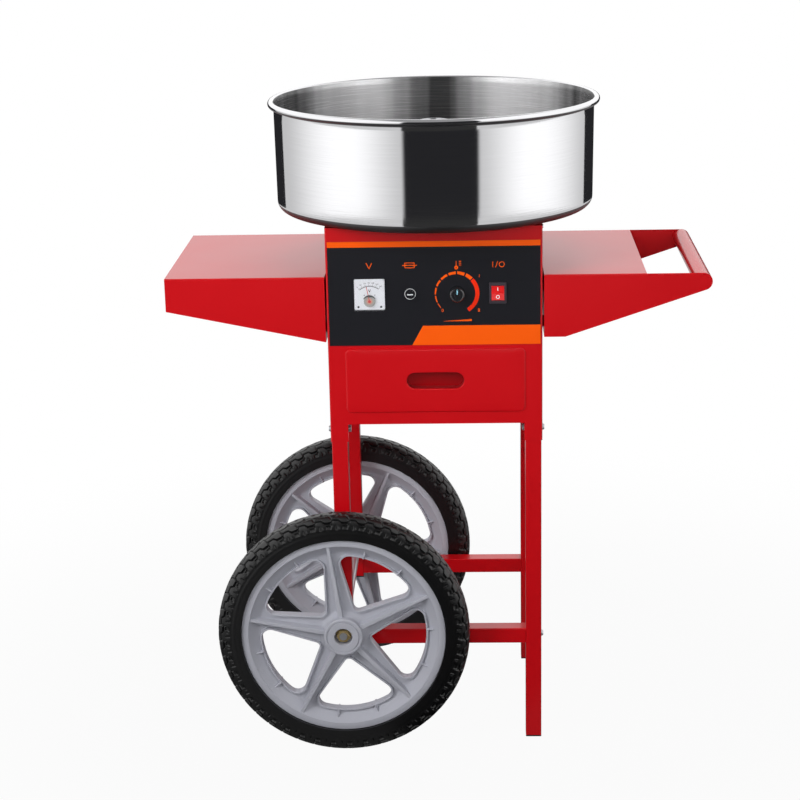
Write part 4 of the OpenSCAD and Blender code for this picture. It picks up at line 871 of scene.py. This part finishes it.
labels = [(str(k * 50), *from_pivot(angle, numeral_r))
          for k, angle in enumerate(np.linspace(first_angle, last_angle, 7))]
numerals("meter_numerals", labels, 3.0, card_y, "black_print", "cart")

# %% [markdown]
# The heat knob is turned by two fingers, so its side is fluted. A fluted side is a radius that swings with
# the angle, and fades out at the face and at the skirt. A row of its table gives a share of the radius, a
# height over the panel and a share of the flutes. A pale line on its face and its front edge points at the
# scale.

# %% Heat knob
knob_low, knob_high = node_box("heat_knob")
knob_x, _, knob_z = (knob_low + knob_high) / 2
knob_r, knob_l = (knob_high[0] - knob_low[0]) / 2, knob_high[1] - knob_low[1]
flutes, flute_depth, face_sink = 18, 0.045, 0.6
knob_rows = np.array([
    [0, 0, 0], [0.6, 0, 0], [0.96, 0, 0], [1, 0.5, 0], [1, 2, 0], [0.98, 2.6, 0], [0.96, 3.4, .6],
    [0.95, 8, 1], [0.94, knob_l - 2.2, 1], [0.93, knob_l - 1.7, .4], [0.91, knob_l - 1.4, 0],
    [0.81, knob_l - 0.2, 0], [0.79, knob_l, 0], [0.74, knob_l, 0], [0.71, knob_l - 0.25, 0],
    [0.69, knob_l - face_sink, 0], [0.3, knob_l - face_sink, 0], [0.0, knob_l - face_sink, 0]])
turn = np.linspace(0, 2 * np.pi, 12 * flutes, endpoint=False)
flute = 1 - flute_depth * knob_rows[:, 2:] * (0.5 + 0.5 * np.cos(flutes * turn)) ** 2
knob_radius = knob_rows[:, :1] * knob_r * flute
knob_points = np.stack([knob_x + knob_radius * np.cos(turn), knob_high[1] - knob_rows[:, 1:2] + 0 * turn,
                        knob_z + knob_radius * np.sin(turn)], -1)
knob = make_piece("fluted_knob", [(knob_points, False, True)], "knob_plastic", "knob",
                  edge=40)
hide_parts("heat_knob")
across_x = knob_x - cabinet_x
pointer_wide, face_y, edge_y = 2.0, knob_low[1] + 0.55, knob_low[1] - 0.05
pointer = [stroke([(across_x + 0.1, knob_z + 1.2), (across_x + 0.4, knob_z + 7.3)], pointer_wide, face_y),
           stroke([(across_x + 0.42, knob_z + 8.0), (across_x + 0.48, knob_z + 8.9)], pointer_wide, edge_y)]
make_piece("knob_pointer", pointer, "pale_blue_print", "knob", solid=False)

# %% [markdown]
# The fuse holder is a black button. The pale ring round it is a painted highlight on its flange's edge, and
# the pale patch in its cap's slot is a painted reflection, both drawn as ink. The ring stays on the panel,
# and the patch turns with the cap.

# %% Fuse holder
fuse_low, fuse_high = node_box("fuse_holder")
fuse_x = (fuse_low[0] + fuse_high[0]) / 2 - cabinet_x
fuse_highlight_r, fuse_highlight_wide, cut_half_long, cut_half_wide, cut_deep = 8.5, 0.7, 4.5, 0.78, 0.3
cap_y = node_box("fuse_cap")[0][1] + cut_deep
# Painted highlights: the pale ring stands for light on the flange's edge, the pale patch for light in the
# slot.
fuse_ring_highlight = arc_band((fuse_x, row_z), fuse_highlight_r, 360, 0, fuse_highlight_wide, fuse_highlight_wide,
                     fuse_low[1] - ink_thick)
cap_slot_highlight = patch(fuse_x - cut_half_long, fuse_x + cut_half_long, row_z - cut_half_wide, row_z + cut_half_wide,
                 depth=cap_y)
make_piece("fuse_ring_highlight", [fuse_ring_highlight], "white_print_and_highlight", "cart", solid=False)
make_piece("fuse_cap_slot_highlight", [cap_slot_highlight], "white_print_and_highlight", "fuse_cap", solid=False)

# %% [markdown]
# The switch has a raised frame round its window, which also hides the ends of the rocker's pin. Like the
# drawer's front, it is a grid between two outlines with one middle. Its rows stand before the switch's face.

# %% Switch frame
body_low, body_high = node_box("switch_body")
pin_y, frame_round, window_width, window_height, window_round = -170.5, 2.0, 19.8, 23.0, 0.6
pin = np.array([(body_low[0] + body_high[0]) / 2, pin_y, (body_low[2] + body_high[2]) / 2])
frame_profile = np.array([
    [0, 0, -.3], [0, 0, -.62], [0, .08, -.74], [0, .25, -.8], [.5, 0, -.8], [1, -1.1, -.8], [1, -.7, -.7],
    [1, -.35, -.4], [1, -.2, -.02]])
outer_edge = round_box(body_high[0] - body_low[0], body_high[2] - body_low[2], frame_round)
inner_edge = round_box(window_width, window_height, window_round)
switch_frame = pierced_plate(pin, body_low[1], inner_edge, outer_edge, frame_profile)
make_piece("switch_frame", [(switch_frame, False, True)], "bezel_plastic", "cart", edge=50)

# %% [markdown]
# The rocker carries a bar for on and a ring for off. They lie on its two sloping halves, so the flat marks
# are made upright first, then leaned with each half and turned with the rocker about its pin.

# %% Rocker marks
tilt, slope, crest, ink_lift = np.radians(-9.0), np.arctan2(1.8, 10.9), 0.7, 0.07


def on_rocker(flat):
    """Lay flat (x, z) marks on the rocker's halves, leaned with them and turned about its pin."""
    x, z = flat[..., 0], flat[..., 1]
    y = -crest - np.abs(z) * np.tan(slope) - ink_lift
    return (np.stack([pin[0] + x, pin[1] + y * np.cos(tilt) - z * np.sin(tilt),
                      pin[2] + y * np.sin(tilt) + z * np.cos(tilt)], -1), False, False)


off_ring = np.array([arc((0, -5.9), radius, 360, 0, 49) for radius in (1.9, 2.8)])
on_bar = np.array([[[-0.55, 3.2], [0.55, 3.2]], [[-0.55, 8.6], [0.55, 8.6]]])
make_piece("rocker_marks", [on_rocker(off_ring), on_rocker(on_bar)], "white_print_and_highlight", "rocker",
           solid=False)

# %% [markdown]
# Every screw has a recess for its driver. Two dark crossed bars on each head stand for it as painted shade,
# which is enough at this size: one small cross is written down once and carried to all heads that show.

# %% Screw recesses
recesses, bar_share = [], 0.22


def cross(place, axis, sign, size, turn=0.3):
    """Two crossed bars on a screw's head that faces along an axis, by its number, to one side."""
    plane = [n for n in range(3) if n != axis]
    for a in (turn, turn + np.pi / 2):
        along = size * np.array([np.cos(a), np.sin(a)])
        side = bar_share * size * np.array([-np.sin(a), np.cos(a)])
        points = np.zeros((2, 2, 3)) + place
        points[..., plane] += [[-along - side, along - side], [-along + side, along + side]]
        recesses.append((points[::-1] if (axis == 1) == (sign > 0) else points, False, False))


shell_low, shell_high = node_box("cabinet_shell")
screw_head, bolt_head, tube_inset, over_head = 2.2, 3.2, 1.5, 0.05
small, large = 1.8, 2.6
screw_y, screw_drop, bolt_y, leg_bolt_z, bar_bolt_z = 132.0, 8.0, 154.0, 525.0, 177.5
back_x, back_foot, back_height = 155.5, 535.5, 311.0
for sx in (-1, 1):
    side_x = shell_low[0] if sx < 0 else shell_high[0]
    for sy in (-1, 1):
        screw_x, bolt_x = side_x + sx * (screw_head + over_head), side_x + sx * (bolt_head + over_head)
        cross([screw_x, sy * screw_y, shell_high[2] - screw_drop], 0, sx, small)
        cross([bolt_x, sy * bolt_y, leg_bolt_z], 0, sx, large, 0.9)
        cross([bolt_x - sx * tube_inset, sy * bolt_y, bar_bolt_z], 0, sx, large, 0.5)
    for share in (0.12, 0.5, 0.88):
        back_y, back_z = shell_high[1] + screw_head + over_head, back_foot + share * back_height
        cross([cabinet_x + sx * back_x, back_y, back_z], 1, 1, small, share)
# The dark crosses are painted shade in place of hollow recesses.
make_piece("screw_recesses", recesses, "painted_recess_shade", "cart", solid=False)

# %% [markdown]
# The studio is plain: a pale floor, a white world that the camera and shiny things see, and a few wide soft
# lamps. A mirror-like bowl is only as good as what it reflects. A photographer stands such a bowl between
# white walls and leaves the side behind the camera dark, which draws its clean upright bands, so the world
# that reflections see has a dark stretch there and another far behind.

# %% World
black, white = (0.0, 0.0, 0.0, 1.0), (1.0, 1.0, 1.0, 1.0)
dark_turn, dark_half, dark_edge, far_turn = np.radians([5.9, 25, 28.5, 138])
rise_start, rise_end, fall_start, fall_end = np.radians([20, 66, 76, 140])
horizon, wall_dim, wall_bright, above_walls = 0.03, 0.56, 1.1, 1.05
world = bpy.data.worlds.new("studio")
bpy.context.scene.world = world
world.use_nodes = True
world.node_tree.nodes.clear()
sky = Shade(world.node_tree)
x, y, z = sky.node("SeparateXYZ", {}, {0: sky.node("TexCoord", out="Generated")}).outputs("X", "Y", "Z")
azimuth = sky.math("ARCTAN2", x, 0 - y)
off_camera = abs(azimuth - dark_turn)
behind_camera = off_camera.smooth(dark_half, dark_edge, 1.0, 0.0) * z.smooth(0.3, 0.95, 1.0, 0.55)
far_side = (abs(azimuth) > far_turn) * (z < horizon)
ceiling = z.smooth(0.5, 0.8) * abs(x).smooth(0.25, 0.5, 0.75, 0.0)
dark = sky.math("MAXIMUM", sky.math("MAXIMUM", behind_camera, far_side), ceiling)
walls = sky.math("MINIMUM", off_camera.smooth(rise_start, rise_end, wall_dim, wall_bright),
                 off_camera.smooth(fall_start, fall_end, wall_bright, wall_dim))
low_walls = walls * (z < horizon) + above_walls * (z > horizon)
room = dark.mix(low_walls, (0.018, 0.018, 0.02, 1.0))
camera_ray, glossy_ray, clear_ray = sky.node("LightPath").outputs(
    "Is Camera Ray", "Is Glossy Ray", "Is Transmission Ray")
seen = sky.math("MAXIMUM", camera_ray, clear_ray)
overhead = sky.node("MapRange", {}, {"Value": z, "From Min": -0.1, "From Max": 0.8})
soft_light = overhead.mix((0.08, 0.08, 0.082, 1.0), (0.32, 0.32, 0.33, 1.0))
colour = glossy_ray.mix(seen.mix(soft_light, white), room)
sky.node("OutputWorld", {}, {"Surface": sky.node("Background", {}, {"Color": colour, "Strength": 1.0})})
print("world made")

# %% [markdown]
# The floor is a pale disc. The camera sees it nearly white, and a little of its real shade near the cart
# keeps the shadow. Reflections see it dark in a wedge before the cart, as the world is there, and darker
# close to the wheels, so that the tyres stay black.

# %% Floor
floor_r, floor_drop, floor_rows, floor_columns = 4.2, 0.0002, 24, 64
wedge_slope, wedge_turn = 2.0, 0.103
floor_mesh = bpy.data.meshes.new("floor")
ring_r = np.linspace(0.0, floor_r, floor_rows)[:, None]
turn = np.linspace(0, 2 * np.pi, floor_columns, endpoint=False)
floor_points = np.stack([ring_r * np.cos(turn), ring_r * np.sin(turn), 0 * ring_r * turn - floor_drop], -1)
floor_mesh.from_pydata(floor_points.reshape(-1, 3).tolist(), [],
                       quads(floor_rows, floor_columns, False, True).tolist())
floor = add_object("floor", floor_mesh)
spot, floor_shader = new_finish("pale_floor", {"Base Color": (0.2, 0.2, 0.2, 1.0), "Roughness": 0.8})
camera_ray, glossy_ray = spot.node("LightPath").outputs("Is Camera Ray", "Is Glossy Ray")
away = spot.node("VectorMath", {"operation": "LENGTH"}, {0: spot}, 1)
floor_x, floor_y = spot.node("SeparateXYZ", {}, {0: spot}).outputs("X", "Y")
front_way = 0 - floor_y - wedge_slope * abs(floor_x + wedge_turn * floor_y)
room_floor, near_cart = front_way.smooth(0.0, 0.14, 0.6, 0.03), away.smooth(1.0, 1.5, 0.2, 1.0)
seen_white = (glossy_ray * room_floor * near_cart + (1 - glossy_ray)).mix(black, white)
glow = spot.node("Emission", {}, {"Color": seen_white})
share = spot.math("MAXIMUM", camera_ray * away.smooth(0.45, 1.5, 0.95, 1.0), glossy_ray)
real_shade = Shade(spot.tree, floor_shader.outputs[0])
blend = spot.node("MixShader", {}, {0: share, 1: real_shade, 2: glow})
blend.feed(spot.tree.nodes["Material Output"], "Surface")
floor_mesh.materials.append(finishes["pale_floor"])
print("floor has a radius of", floor_r, "m")

# %% [markdown]
# Wide square lamps light the cart: a strong one at the left, weaker ones at the right, above and behind,
# and a narrow one from the front. Most stand low, so that upright faces get more light than flat tops. No
# reflection shows them, because the world already has the walls that shine in the bowl.


# %% Lamps
def pose(right, up, back, place):
    """The matrix of an object that stands at a place, from the directions of its three axes."""
    return Matrix([[*row, p] for row, p in zip(np.stack([right, up, back], 1), place)] + [[0, 0, 0, 1]])


def soft_lamp(name, place, aim, size, power, spread=180):
    """A wide square lamp at a place, turned to shine at a point, that no reflection shows."""
    lamp = bpy.data.lights.new(name, "AREA")
    lamp.shape, lamp.size, lamp.energy, lamp.spread = "SQUARE", size, power, np.radians(spread)
    back = np.array(place, float) - aim
    back /= np.linalg.norm(back)
    side = np.cross([0, 0, 1], back)
    side /= np.linalg.norm(side)
    holder = add_object(name, lamp)
    holder.matrix_world = pose(side, np.cross(back, side), back, place)
    holder.visible_glossy = False


soft_lamp("key_lamp", (-2.1, -2.0, 2.1), (0, 0, 0.8), 1.4, 58)
soft_lamp("fill_lamp", (2.3, -2.0, 2.0), (0, 0, 0.8), 1.8, 20)
soft_lamp("front_lamp", (0.0, -2.4, 1.3), (0, 0, 0.95), 1.0, 2.9, 60)
soft_lamp("top_lamp", (0.2, 0.9, 3.0), (0, 0, 0.8), 2.0, 16)
soft_lamp("back_lamp", (0.8, 3.0, 1.9), (0, 0, 0.6), 1.8, 45)
print("placed", len(bpy.data.lights), "lamps")

# %% [markdown]
# The camera stands a little to the right of the bowl's axis, about three metres away and above the bowl's
# rim, looks slightly down and leans by a degree. Its turn is written as three directions: right, up and
# back.

# %% Camera
yaw, pitch, roll = np.radians([-2.30, -16.48, -1.21])
focal_pixels, picture_pixels, sensor = 1941.18, 800, 36.0
stand_point = (0.05554, -3.05115, 1.42811)
forward = np.array([np.sin(yaw) * np.cos(pitch), np.cos(yaw) * np.cos(pitch), np.sin(pitch)])
level = np.array([np.cos(yaw), -np.sin(yaw), 0])
upright = np.cross(level, forward)
right = np.cos(roll) * level + np.sin(roll) * upright
up = np.cos(roll) * upright - np.sin(roll) * level
lens = bpy.data.cameras.new("camera")
lens.sensor_width, lens.lens = sensor, sensor * focal_pixels / picture_pixels
camera = add_object("camera", lens)
camera.matrix_world = pose(right, up, -forward, stand_point)
bpy.context.scene.camera = camera
bpy.context.scene.view_settings.view_transform = "Standard"
print("camera has a lens of", round(lens.lens, 2), "mm")
